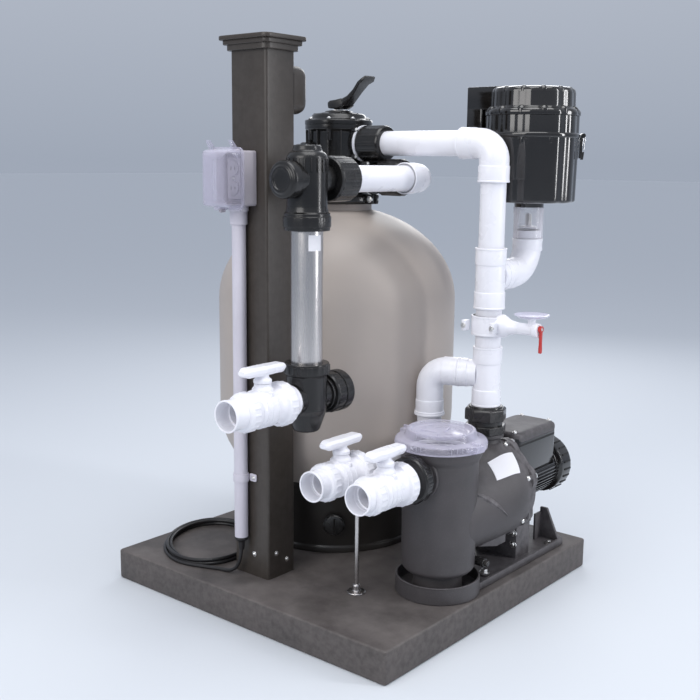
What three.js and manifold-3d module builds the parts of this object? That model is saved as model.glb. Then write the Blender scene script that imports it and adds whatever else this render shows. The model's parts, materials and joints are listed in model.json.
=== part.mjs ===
// Skid-mounted sand filtration unit: a sand filter tank with its valve, ultraviolet
// chamber, pump, blower, control post and plumbing on one pad. Millimetres, +Z up.
// Origin: centre of the pad's underside. +X runs along the pad's front edge, +Y to the back.
import * as THREE from 'three';
import { mergeVertices } from 'three/addons/utils/BufferGeometryUtils.js';
import Module from 'manifold-3d';

const wasm = await Module();
wasm.setup();

// ---------------------------------------------------------------- driving sizes
const gap = 0.3;                         // space kept between pieces that touch
const pad = { width: 864, depth: 864, thick: 76.2, corner: 12 };
const pipe = { r: 30.15, bore: 26.2 };   // two-inch pipe
const socket = { r: pipe.r + 6.35, depth: 40, stop: pipe.r + 14.85 };
const slimSocketR = pipe.r + 4.35;                // bypass fittings have thinner walls
const tank = { x: -147, y: 85, r: 311, wall: 8, low: 408, high: 705, dome: 240 };
const neck = { r: 88, wall: 10, flangeR: 98, flange: 8, z: 964 };
const skirt = { topR: 250, bottomR: 225, wall: 7 };
const drain = { r: 20, z: 160, angle: -0.877 };
// Ports of the selector valve: distances from the tank's axis.
const upperPort = { z: 1103, nutStart: 88, nutEnd: 146, nutR: pipe.r + 14.85 };
const lowerPort = { z: 1020, nutStart: 147, nutR: pipe.r + 15.85 };
const valveHead = { r: 78, bore: 60, floor: 990, lidR: 87,
  top: upperPort.z + pipe.r + 16.85, lidHeight: 35 };
const lidTop = valveHead.top + valveHead.lidHeight;
const shaft = { r: 10, pinR: 4, pinZ: 1197 };
const lever = { width: 55, reach: 104, tip: 1268, thick: 9 };
const post = { x: -59.4, y: tank.y - tank.r - 54.6, width: 112, depth: 92, wall: 5, top: 1308 };
const cap = { overhang: 20, skirt: 22, plate: 8, crown: 14 };
const ballast = { width: 84, depth: 54, low: post.top - 145, high: post.top - 38, shift: 11 };
const outlet = { x: -76, width: 86, depth: 45, low: post.top - 350, high: post.top - 228, wall: 4 };
const cover = { width: 100, depth: 46, low: outlet.low - 8, high: outlet.high + 6, wall: 3 };
const conduit = { x: -75, r: 16.7, bore: 13.5, low: 175 };
const uv = { x: 125, y: -335, barrelR: 35, barrelWall: 2, headR: 45, collarR: 52,
  lowPort: 545, lampR: 11 };
const uvBarrel = { low: 561, high: 984 };
const valve = { ballR: 33, ballRoom: 3, coreR: 41, bellyR: 43, cuffR: 49, sleeveR: 34.5, stemR: 9,
  middleShare: 0.54, coreHalf: 36, shoulder: 68, rise: 92, barLength: 124, barWidth: 30,
  barThick: 20, lineZ: 368 };
const valveOneFront = -579;
const valveTwo = { x: 196, front: -398, back: -214 };
const valveThree = { front: -400, back: -226 };
const bypass = { y: 35, armZ: 562, collar: 111 };
const pump = { x: 326, potY: -100, potR: 88, potWall: 9, potLow: 130, potHigh: 425,
  z: 280, voluteR: 125, voluteFront: 48, voluteBack: 119,
  throatZ: 268, throatR: 84, throatEndR: 110, suctionEnd: -197.5 };
const sealPlate = { r: 130, thick: 21 };
const rod = { r: 5, footR: 22, footThick: 8, collarR: 9, collarTop: 22, inset: 26 };
const motor = { r: 66, wall: 7, end: 405, shaftR: 8, cowlR: 75, cowlLength: 56 };
const terminal = { halfWidth: 60, front: 145, back: 338, low: 290, high: 410 };
const stand = { halfWidth: 84, joinAt: 42, back: 380, thick: 14 };
const saddle = { halfWidth: 62, wall: 12, front: 152, back: 216, high: 224 };
const gusset = { inner: 24, top: 44, high: 172, front: 330, thick: 8, toe: 92 };
const lid = { r: 100, high: 465 };
const basket = { r: 72, wall: 2.5, low: 190 };
const tray = { r: 94, rim: 117, floor: 7.5 };
const dischargeTop = 419;
const blower = { y: 250, r: 112, lowR: 109, wall: 5, neckR: 36, neckLow: 953, low: 965, joint: 1170,
  capR: 101, crown: 12, top: 1242 };
const intake = { reach: 172, halfWidth: 38, wall: 5, low: 1120, high: 1236 };
const latch = { angle: 0.693, out: 4, thick: 13, halfWidth: 14, low: 1067, height: 64 };
const blowerTee = { z: 796, up: 67, down: 76, side: 60 };
const bypassTee = { up: 67, down: 76, side: 68 };
const clearTube = { r: 37, wall: 4, low: 877.3 };
const cock = { z: 681, r: 17, end: 136, ringR: 41, ringHeight: 46 };
const cord = { r: 4.25, coilX: -284, coilY: -252, coilA: 122, coilB: 164, band: 26, height: 17 };
const coilTurn = 0.693;                  // angle of the coil's short axis from +X, radians
const earTurn = -0.12;                   // angle of the pump lid's ears from +X
const wasteTurn = -2.038;                // angle of the valve's waste port from +X
const sides = 12;                        // facets round a pipe

const returnElbow = { leg: 55, long: 78, sweep: 37 };
const returnReach = 80;                  // from the ultraviolet chamber's axis to the pipe's end
const weld = 4;                          // how far glued pipes run into each other
const insertion = socket.stop - weld - 2;

const padTop = pad.thick;
const seat = padTop + gap;
const riser = { x: pump.x, y: tank.y };

// ---------------------------------------------------------------- colours
const paint = (color, roughness, metalness = 0) =>
  new THREE.MeshStandardMaterial({ color, roughness, metalness });
const padPlastic = paint(0x4b4442, 0.75);
const postPlastic = paint(0x3c3631, 0.6);
const tankResin = paint(0xaca39b, 0.45);
const skirtPlastic = paint(0x1b1a1a, 0.5);
const blackGloss = paint(0x141313, 0.25);
const whitePipe = paint(0xeeecf2, 0.35);
const pumpPlastic = paint(0x555052, 0.6);
const stainless = paint(0xc9c9cd, 0.25, 1);
const greyBox = paint(0xaaa3a8, 0.6);
const clearPlastic = new THREE.MeshStandardMaterial({
  color: 0xdad6e6, roughness: 0.15, metalness: 0, transparent: true, opacity: 0.4 });
const redGrip = paint(0xaa3232, 0.4);
const cordRubber = paint(0x161616, 0.5);

// ---------------------------------------------------------------- solids
const vec = (x, y, z) => new THREE.Vector3(x, y, z);
const X = vec(1, 0, 0), Y = vec(0, 1, 0), Z = vec(0, 0, 1);
const minusX = vec(-1, 0, 0), minusY = vec(0, -1, 0), minusZ = vec(0, 0, -1);
const heading = angle => vec(Math.cos(angle), Math.sin(angle), 0);

function solid(source) {
  const geometry = source.index ? source : source.clone();
  geometry.deleteAttribute('normal');
  geometry.deleteAttribute('uv');
  const merged = mergeVertices(geometry, 1e-4);
  return new wasm.Manifold(new wasm.Mesh({
    numProp: 3,
    vertProperties: Float32Array.from(merged.attributes.position.array),
    triVerts: Uint32Array.from(merged.index.array) }));
}

const join = (first, ...rest) => rest.reduce((sum, next) => sum.add(next), first);
const cut = (first, ...rest) => rest.reduce((left, next) => left.subtract(next), first);

function block(x0, x1, y0, y1, z0, z1) {
  const box = new THREE.BoxGeometry(x1 - x0, y1 - y0, z1 - z0);
  return solid(box.translate((x0 + x1) / 2, (y0 + y1) / 2, (z0 + z1) / 2));
}

// A round bar from at + direction * from to at + direction * to.
function bar(at, direction, from, to, r, endR = r, facets = sides) {
  const round = new THREE.CylinderGeometry(endR, r, to - from, facets);
  round.translate(0, (from + to) / 2, 0);
  round.applyQuaternion(new THREE.Quaternion().setFromUnitVectors(Y, direction));
  return solid(round.translate(at.x, at.y, at.z));
}

const ball = (at, r) => solid(new THREE.SphereGeometry(r, 12, 8).translate(at.x, at.y, at.z));

// A turned piece about a vertical axis; points are [radius, height], going up the outside.
function turned(points, x, y, facets = 24) {
  const outline = points.map(([r, z]) => new THREE.Vector2(r, z));
  const lathe = new THREE.LatheGeometry(outline, facets).rotateX(Math.PI / 2);
  return solid(lathe.translate(x, y, 0));
}

// An outline of [x, z] points, extruded along Y.
function sideProfile(points, y0, y1) {
  const shape = new THREE.Shape(points.map(([x, z]) => new THREE.Vector2(x, z)));
  const slab = new THREE.ExtrudeGeometry(shape, { depth: y1 - y0, bevelEnabled: false });
  return solid(slab.rotateX(Math.PI / 2).translate(0, y1, 0));
}

// A plate with rounded upright corners.
function roundedPlate(x0, x1, y0, y1, z0, z1, r) {
  const shape = new THREE.Shape();
  shape.absarc(x1 - r, y1 - r, r, 0, Math.PI / 2);
  shape.absarc(x0 + r, y1 - r, r, Math.PI / 2, Math.PI);
  shape.absarc(x0 + r, y0 + r, r, Math.PI, Math.PI * 1.5);
  shape.absarc(x1 - r, y0 + r, r, Math.PI * 1.5, Math.PI * 2);
  const slab = new THREE.ExtrudeGeometry(shape,
    { depth: z1 - z0, bevelEnabled: false, curveSegments: 5 });
  return solid(slab.translate(0, 0, z0));
}

// The quarter bend of an elbow, from along first to along second.
class Bend extends THREE.Curve {
  constructor(at, first, second, sweep) {
    super();
    Object.assign(this, { at, first, second, sweep });
  }

  getPoint(t) {
    const turn = t * Math.PI / 2;
    return this.at.clone()
      .addScaledVector(this.first, this.sweep * (1 - Math.sin(turn)))
      .addScaledVector(this.second, this.sweep * (1 - Math.cos(turn)));
  }
}

function bentBar(curve, r, steps, facets = sides) {
  const section = new THREE.Shape().absarc(0, 0, r, 0, Math.PI * 2);
  return solid(new THREE.ExtrudeGeometry(section,
    { steps, curveSegments: facets / 2, bevelEnabled: false, extrudePath: curve }));
}

// A hollow fitting: an elbow where two legs turn a corner, a tee where it has three.
function fitting(at, legs, r, sweep = 40) {
  const bend = legs.length === 2 ? new Bend(at, legs[0][0], legs[1][0], sweep) : null;
  const start = bend ? sweep - 1 : 0;
  const outside = legs.map(([way, length]) => bar(at, way, start, length, r));
  const bores = legs.map(([way, length]) => bar(at, way, start, length + 1, pipe.bore));
  const mouths = legs.map(([way, length]) =>
    bar(at, way, socket.stop - 1, length + 1, pipe.r + gap));
  if (bend) {
    outside.push(bentBar(bend, r, 4));
    bores.push(bentBar(bend, pipe.bore, 4));
  }
  return cut(join(...outside), ...bores, ...mouths);
}

const hollow = (at, way, from, to, r = pipe.r, bore = pipe.bore) =>
  cut(bar(at, way, from, to, r), bar(at, way, from - 1, to + 1, bore));

const unit = new THREE.Group();
function add(name, material, shape) {
  const { vertProperties, triVerts } = shape.getMesh();
  const geometry = new THREE.BufferGeometry();
  geometry.setAttribute('position', new THREE.BufferAttribute(vertProperties, 3));
  geometry.setIndex(new THREE.BufferAttribute(triVerts, 1));
  geometry.computeVertexNormals();
  const mesh = new THREE.Mesh(geometry, material);
  mesh.name = name;
  unit.add(mesh);
}

// ---------------------------------------------------------------- pad and control post
function padAndPost() {
  const halfW = pad.width / 2, halfD = pad.depth / 2;
  add('base_pad', padPlastic,
    roundedPlate(-halfW, halfW, -halfD, halfD, 0, padTop, pad.corner));

  const half = post.width / 2, deep = post.depth / 2;
  const wrap = (grow, z0, z1) => block(post.x - half - grow, post.x + half + grow,
    post.y - deep - grow, post.y + deep + grow, z0, z1);
  add('control_post', postPlastic, cut(wrap(0, seat, post.top), wrap(-post.wall, seat - 1, post.top + 1)));

  const skirtLow = post.top - cap.skirt;
  const plateTop = post.top + gap + cap.plate;
  add('post_cap', postPlastic, cut(
    join(wrap(cap.overhang / 2, skirtLow, post.top + 1), wrap(cap.overhang, post.top, plateTop),
      wrap(-cap.overhang / 4, plateTop - 1, plateTop + cap.crown)),
    wrap(gap, skirtLow - 1, post.top + gap)));

  const back = post.y + deep + gap;
  add('ballast_box', postPlastic, roundedPlate(post.x + ballast.shift - ballast.width / 2,
    post.x + ballast.shift + ballast.width / 2,
    back, back + ballast.depth, ballast.low, ballast.high, 10));
}

function powerOutlet() {
  const front = post.y - post.depth / 2 - gap;
  const half = outlet.width / 2, wide = cover.width / 2, w = outlet.wall;
  const boxFront = front - outlet.depth;
  add('outlet_box', greyBox, cut(
    block(outlet.x - half, outlet.x + half, boxFront, front, outlet.low, outlet.high),
    block(outlet.x - half + w, outlet.x + half - w, boxFront - 1, front - w * 3,
      outlet.low + w, outlet.high - w)));

  const coverBack = boxFront - gap, c = cover.wall;
  const ears = [-1, 1].map(side => block(outlet.x + side * wide * 0.6 - 6, outlet.x + side * wide * 0.6 + 6,
    coverBack - 14, coverBack, cover.high - 1, cover.high + 16));
  add('outlet_cover', clearPlastic, cut(
    join(block(outlet.x - wide, outlet.x + wide, coverBack - cover.depth, coverBack,
      cover.low, cover.high), ...ears),
    block(outlet.x - wide + c, outlet.x + wide - c, coverBack - cover.depth + c, coverBack + 1,
      cover.low + c, cover.high - c)));

  const conduitY = post.y - post.depth / 2 - gap * 2 - conduit.r;
  add('conduit', greyBox, hollow(vec(conduit.x, conduitY, 0), Z, conduit.low,
    outlet.low - gap, conduit.r, conduit.bore));
  return conduitY;
}

// ---------------------------------------------------------------- tank
const domeHeight = (r, tankR, height) => height * Math.sqrt(Math.max(0, 1 - (r / tankR) ** 2));

function tankProfile(r, dome, throat, steps) {
  const turn = Math.acos(throat / r);
  const low = Array.from({ length: steps + 1 }, (_, i) => {
    const a = (i / steps) * Math.PI / 2;
    return [r * Math.sin(a), tank.low - dome * Math.cos(a)];
  });
  const high = Array.from({ length: steps + 1 }, (_, i) => {
    const a = (i / steps) * turn;
    return [r * Math.cos(a), tank.high + dome * Math.sin(a)];
  });
  low[0][0] = 0;
  return [...low, ...high];
}

function tankPieces() {
  const { x, y } = tank;
  const flangeLow = neck.z - neck.flange;
  const outside = turned([...tankProfile(tank.r, tank.dome, neck.r, 6), [neck.r, flangeLow],
    [neck.flangeR, flangeLow], [neck.flangeR, neck.z], [0, neck.z]], x, y);
  const throat = neck.r - neck.wall;
  const inside = turned([...tankProfile(tank.r - tank.wall, tank.dome - tank.wall, throat, 5),
    [throat, neck.z + 1], [0, neck.z + 1]], x, y);
  add('tank_shell', tankResin, cut(outside, inside));

  const under = r => tank.low - domeHeight(r, tank.r, tank.dome) - gap * 3;
  const inner = skirt.topR - skirt.wall;
  const wall = turned([[skirt.bottomR - 60, seat], [skirt.bottomR, seat],
    [skirt.topR, under(skirt.topR)], [inner, under(inner)],
    [skirt.bottomR - skirt.wall, seat + 10], [skirt.bottomR - 60, seat + 10],
    [skirt.bottomR - 60, seat]], x, y);
  const way = heading(drain.angle);
  const drainAt = vec(x, y, drain.z);
  const skirtR = skirt.bottomR + (skirt.topR - skirt.bottomR) * (drain.z - seat)
    / (under(skirt.topR) - seat);
  add('tank_skirt', skirtPlastic, cut(wall, bar(drainAt, way, skirtR - 40, skirtR + 40, drain.r + gap)));
  add('drain_plug', blackGloss, join(bar(drainAt, way, skirtR - 34, skirtR + 8, drain.r),
    bar(drainAt, way, skirtR + 7, skirtR + 24, drain.r * 1.45, drain.r * 1.45, 8)));

  const clampR = 107, lugReach = 124, low = flangeLow - gap * 2, high = neck.z + gap + neck.flange + gap * 2;
  const lip = neck.r + 3, wrap = neck.flangeR + gap * 2;
  const hoop = turned([[lip, low - 4], [clampR, low - 4], [clampR, high + 4], [lip, high + 4], [lip, high],
    [wrap, high], [wrap, low], [lip, low], [lip, low - 4]], x, y);
  const lugs = [[-lugReach, -clampR + 6], [clampR - 6, lugReach]].map(([from, to]) =>
    block(x + from, x + to, y - 14, y + 14, low - 4, high + 4));
  add('neck_clamp', blackGloss, join(hoop, ...lugs));
}

function underdrain() {
  const { x, y } = tank;
  const hubLow = 196, hubHigh = 244, hubR = 44, armZ = 226, armR = 11, armEnd = 160, arms = 8;
  const standR = 25;
  const spokes = Array.from({ length: arms }, (_, i) => {
    const a = (i / arms) * Math.PI * 2;
    return bar(vec(x, y, armZ), heading(a), 0, armEnd, armR, armR, 12);
  });
  const pipeTop = valveHead.floor - 4;
  add('underdrain', whitePipe, cut(join(bar(vec(x, y, 0), Z, hubLow, hubHigh, hubR),
    bar(vec(x, y, 0), Z, hubHigh - 1, pipeTop, standR), ...spokes),
    bar(vec(x, y, 0), Z, hubLow + 8, pipeTop + 1, standR - 3.5)));
  return standR;
}

// ---------------------------------------------------------------- multiport valve
function multiport(standR) {
  const { x, y } = tank;
  const low = neck.z + gap, wasteWay = heading(wasteTurn);
  const body = turned([[0, low], [neck.flangeR, low], [neck.flangeR, low + neck.flange],
    [valveHead.r, low + neck.flange], [valveHead.r, valveHead.top - 14],
    [valveHead.lidR, valveHead.top - 12], [valveHead.lidR, valveHead.top], [0, valveHead.top]], x, y);
  const stubs = [
    bar(vec(x, y, upperPort.z), X, 0, upperPort.nutEnd - 40, pipe.r),
    bar(vec(x, y, upperPort.z), X, 0, upperPort.nutStart - 2, pipe.r + 12),
    bar(vec(x, y, lowerPort.z), X, 0, uv.x - socket.stop - gap - x, pipe.r),
    bar(vec(x, y, lowerPort.z), X, 0, lowerPort.nutStart - 20, pipe.r + 6),
    bar(vec(x, y, (upperPort.z + lowerPort.z) / 2), wasteWay, 0, valveHead.r + 62, pipe.r)];
  const bores = [
    bar(vec(x, y, upperPort.z), X, 0, upperPort.nutEnd, pipe.bore),
    bar(vec(x, y, lowerPort.z), X, 0, uv.x - x, pipe.bore),
    bar(vec(x, y, (upperPort.z + lowerPort.z) / 2), wasteWay, 0, valveHead.r + 90, pipe.bore),
    bar(vec(x, y, 0), Z, valveHead.floor, valveHead.top + 1, valveHead.bore),
    bar(vec(x, y, 0), Z, low - 1, valveHead.floor + 1, standR + gap)];
  add('multiport_body', blackGloss, cut(join(body, ...stubs), ...bores));

  const lidLow = valveHead.top + gap;
  add('multiport_lid', blackGloss, cut(turned([[0, lidLow], [valveHead.lidR, lidLow],
    [valveHead.lidR, lidTop - 12], [valveHead.lidR - 10, lidTop - 3],
    [40, lidTop], [0, lidTop]], x, y),
    bar(vec(x, y, 0), Z, lidLow - 1, lidTop + 1, shaft.r + 0.6)));

  const hub = shaft.pinZ, half = lever.width / 2;
  add('multiport_rotor', blackGloss, join(
    bar(vec(x, y, 0), Z, valveHead.floor + 8, valveHead.top - 12, valveHead.bore - 2),
    bar(vec(x, y, 0), Z, valveHead.top - 13, hub - 4, shaft.r),
    block(x - shaft.r, x + shaft.r, y - shaft.r, y + shaft.r, hub - 8, hub + 9),
    bar(vec(x, y, hub), Y, -half + 1, half - 1, shaft.pinR, shaft.pinR, 12)));

  const foot = lidTop + 4.5, t = lever.thick;
  const arm = sideProfile([[x - 17, foot], [x + 17, foot], [x + 46, foot + 20], [x + 82, foot + 60],
    [x + lever.reach, lever.tip - 4], [x + lever.reach - t, lever.tip + 2], [x + 72, foot + 66],
    [x + 38, foot + 32], [x + 14, foot + 22], [x - 17, foot + 20]], y - half, y + half);
  add('multiport_lever', blackGloss, cut(arm,
    block(x - shaft.r - 5, x + shaft.r + 5, y - shaft.r - 1, y + shaft.r + 1, foot - 1, foot + 40),
    bar(vec(x, y, hub), Y, -half - 1, half + 1, shaft.pinR + 0.6, shaft.pinR + 0.6, 12)));

  add('pump_port_union', blackGloss, hollow(vec(x, y, upperPort.z), X, upperPort.nutStart,
    upperPort.nutEnd, upperPort.nutR, pipe.r + gap));
  add('return_port_union', blackGloss, hollow(vec(x, y, lowerPort.z), X, lowerPort.nutStart,
    uv.x - 55 - gap - x, lowerPort.nutR, pipe.r + gap));
}

// ---------------------------------------------------------------- white plumbing
function plumbing() {
  const elbowLeg = 89, topZ = upperPort.z;
  add('top_pipe', whitePipe, hollow(vec(0, tank.y, topZ), X,
    tank.x + upperPort.nutEnd - 36, riser.x - socket.stop));
  add('riser_elbow', whitePipe, fitting(vec(riser.x, riser.y, topZ),
    [[minusX, elbowLeg], [minusZ, elbowLeg]], socket.r));
  const at = vec(riser.x, riser.y, 0);
  add('riser_pipe', whitePipe, hollow(at, Z, blowerTee.z + socket.stop, topZ - socket.stop));
  add('blower_tee', whitePipe, fitting(vec(riser.x, riser.y, blowerTee.z),
    [[Z, blowerTee.up], [minusZ, blowerTee.down], [Y, blowerTee.side]], socket.r));

  const armWay = vec(valveTwo.x - riser.x, bypass.y - riser.y, 0);
  const armLength = armWay.length();
  armWay.normalize();
  add('bypass_tee', whitePipe, fitting(vec(riser.x, riser.y, bypass.armZ),
    [[Z, bypassTee.up], [minusZ, bypassTee.down], [armWay, bypassTee.side]], slimSocketR));
  const corner = vec(valveTwo.x, bypass.y, valve.lineZ), leg = 60;
  const topElbow = fitting(vec(valveTwo.x, bypass.y, bypass.armZ),
    [[armWay.clone().negate(), armLength - bypassTee.side - gap], [minusZ, bypass.collar]], slimSocketR);
  const lowElbow = fitting(corner, [[minusY, leg], [Z, leg]], slimSocketR);
  const upright = bypass.armZ - valve.lineZ, alongY = bypass.y - valveTwo.back + socket.depth;
  add('bypass_run', whitePipe, cut(join(topElbow, lowElbow,
    bar(corner, Z, insertion, upright - insertion, pipe.r),
    bar(corner, minusY, insertion, alongY - weld, pipe.r)),
    bar(corner, Z, insertion - 1, upright - insertion + 1, pipe.bore),
    bar(corner, minusY, insertion - 1, alongY, pipe.bore)));

  const bendAt = vec(uv.x, tank.y, lowerPort.z), alongPipe = tank.y - uv.y - returnReach;
  add('return_run', whitePipe, cut(join(
    fitting(bendAt, [[minusX, returnElbow.leg], [minusY, returnElbow.long]], socket.r, returnElbow.sweep),
    bar(bendAt, minusY, insertion, alongPipe, pipe.r)),
    bar(bendAt, minusY, insertion - 1, alongPipe + 1, pipe.bore)));
  add('discharge_union', blackGloss, cut(
    bar(at, Z, dischargeTop + gap, bypass.armZ - bypassTee.down - gap, 51, 51, 8),
    bar(at, Z, dischargeTop, bypass.armZ, pipe.bore)));
}

function sampleTap() {
  const at = vec(riser.x, riser.y, cock.z), low = -cock.ringHeight / 2, high = cock.ringHeight / 2;
  const foot = vec(riser.x, riser.y, 0);
  const from = bypass.armZ + socket.stop, to = blowerTee.z - socket.stop;
  const body = join(bar(foot, Z, from, to, pipe.r), bar(at, Z, low, high, cock.ringR),
    bar(at, X, 0, cock.end, cock.r + 12, cock.r),
    bar(vec(at.x + cock.end - 20, at.y, cock.z), Z, 0, 34, 10, 10, 16),
    bar(vec(at.x + cock.end - 20, at.y, cock.z), Z, 28, 36, 36, 42));
  add('sample_cock', whitePipe, cut(body, bar(foot, Z, from - 1, to + 1, pipe.bore)));
  const pivot = vec(at.x + cock.end + 3 + gap, at.y, cock.z + 4);
  add('red_lever', redGrip, join(
    bar(pivot, X, -3, 5, 8, 8, 16),
    block(pivot.x - 2, pivot.x + 5, pivot.y - 6, pivot.y + 6, cock.z - 52, cock.z + 4)));
}

// ---------------------------------------------------------------- ultraviolet chamber
function ultraviolet() {
  const { x, y } = uv;
  const at = z => vec(x, y, z);
  const seatR = uv.barrelR + gap;
  const top = lowerPort.z;
  const upper = join(turned([[0, 912], [uv.collarR, 912], [uv.collarR, 950], [uv.headR, 954],
    [uv.headR, top + 55], [uv.headR - 14, top + 72], [0, top + 72]], x, y),
    bar(at(top), Y, 0, 73, pipe.r), bar(at(top), minusY, 0, 60, pipe.r + 2),
    bar(at(top), minusY, 56, 82, 40));
  add('uv_upper_head', blackGloss, cut(upper, bar(at(0), Z, 911, uvBarrel.high + gap, seatR),
    bar(at(0), Z, uvBarrel.high, top + 60, pipe.bore), bar(at(top), Y, 0, 90, pipe.bore)));

  const port = uv.lowPort;
  const lower = join(turned([[0, port - 75], [30, port - 75], [uv.headR, port - 32], [uv.headR, 598],
    [uv.collarR, 601], [uv.collarR, 624], [0, 624]], x, y),
    bar(at(port), Y, 0, 60, pipe.r + 2), bar(at(port), Y, 52, 118, 48),
    bar(at(port), minusY, 0, uv.headR + 0.7, pipe.r + 4));
  add('uv_lower_head', blackGloss, cut(lower, bar(at(0), Z, uvBarrel.low - gap, 625, seatR),
    bar(at(0), Z, port - 60, uvBarrel.low, pipe.bore), bar(at(port), minusY, 0, 70, pipe.bore)));
  add('uv_barrel', stainless, hollow(at(0), Z, uvBarrel.low, uvBarrel.high, uv.barrelR,
    uv.barrelR - uv.barrelWall));
  add('uv_lamp', clearPlastic, bar(at(0), Z, port - 58, top + 58, uv.lampR, uv.lampR, 16));
  add('uv_return_union', blackGloss, hollow(vec(x, 0, top), Y, uv.y + 62, uv.y + 130, 50, pipe.r + gap));
}

// ---------------------------------------------------------------- ball valves
function ballValve(name, x, front, back, z) {
  const middle = front + (back - front) * valve.middleShare;
  const at = vec(x, middle, z), nose = front - middle, end = back - middle;
  const { coreHalf, shoulder } = valve;
  const throughBore = bar(at, Y, nose - 1, end + 1, pipe.bore);
  add(`${name}_socket`, whitePipe, cut(join(
    bar(at, Y, nose, -coreHalf - gap, valve.sleeveR),
    bar(at, Y, -shoulder, -coreHalf - gap, valve.bellyR)),
    throughBore, bar(at, Y, nose - 1, nose + socket.depth, pipe.r + gap)));
  add(`${name}_body`, whitePipe, cut(join(bar(at, Y, -coreHalf, coreHalf, valve.coreR),
    bar(at, Y, coreHalf - 2, shoulder, valve.cuffR), bar(at, Y, shoulder - 1, end, valve.sleeveR),
    bar(at, Z, 0, 54, 21, 19)),
    throughBore, bar(at, Y, end - socket.depth, end + 1, pipe.r + gap),
    ball(at, valve.ballR + valve.ballRoom), bar(at, Z, 0, 60, valve.stemR + 0.6)));

  const top = z + valve.rise, half = valve.barLength / 2;
  const rounded = roundedPlate(x - valve.barWidth / 2, x + valve.barWidth / 2, middle - half,
    middle + half, top - valve.barThick, top, 8);
  add(`${name}_handle`, whitePipe, cut(join(ball(at, valve.ballR),
    bar(at, Z, valve.ballR - 6, valve.rise - 4, valve.stemR), bar(at, Z, 58, valve.rise - 4, 17), rounded),
    bar(at, Y, -valve.ballR - 1, valve.ballR + 1, pipe.bore - 2)));
}

function valves() {
  ballValve('valve_1', uv.x, valveOneFront, uv.y - uv.headR - 1, uv.lowPort);
  ballValve('valve_2', valveTwo.x, valveTwo.front, valveTwo.back, valve.lineZ);
  ballValve('valve_3', pump.x, valveThree.front, valveThree.back, valve.lineZ);
  const foot = vec(valveTwo.x, valveTwo.back - rod.inset, 0);
  add('support_rod', stainless, join(
    bar(foot, Z, seat, valve.lineZ - valve.cuffR - gap, rod.r),
    bar(foot, Z, seat, seat + rod.footThick, rod.footR, rod.footR, 20),
    bar(foot, Z, seat, seat + rod.collarTop, rod.collarR)));
}

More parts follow.
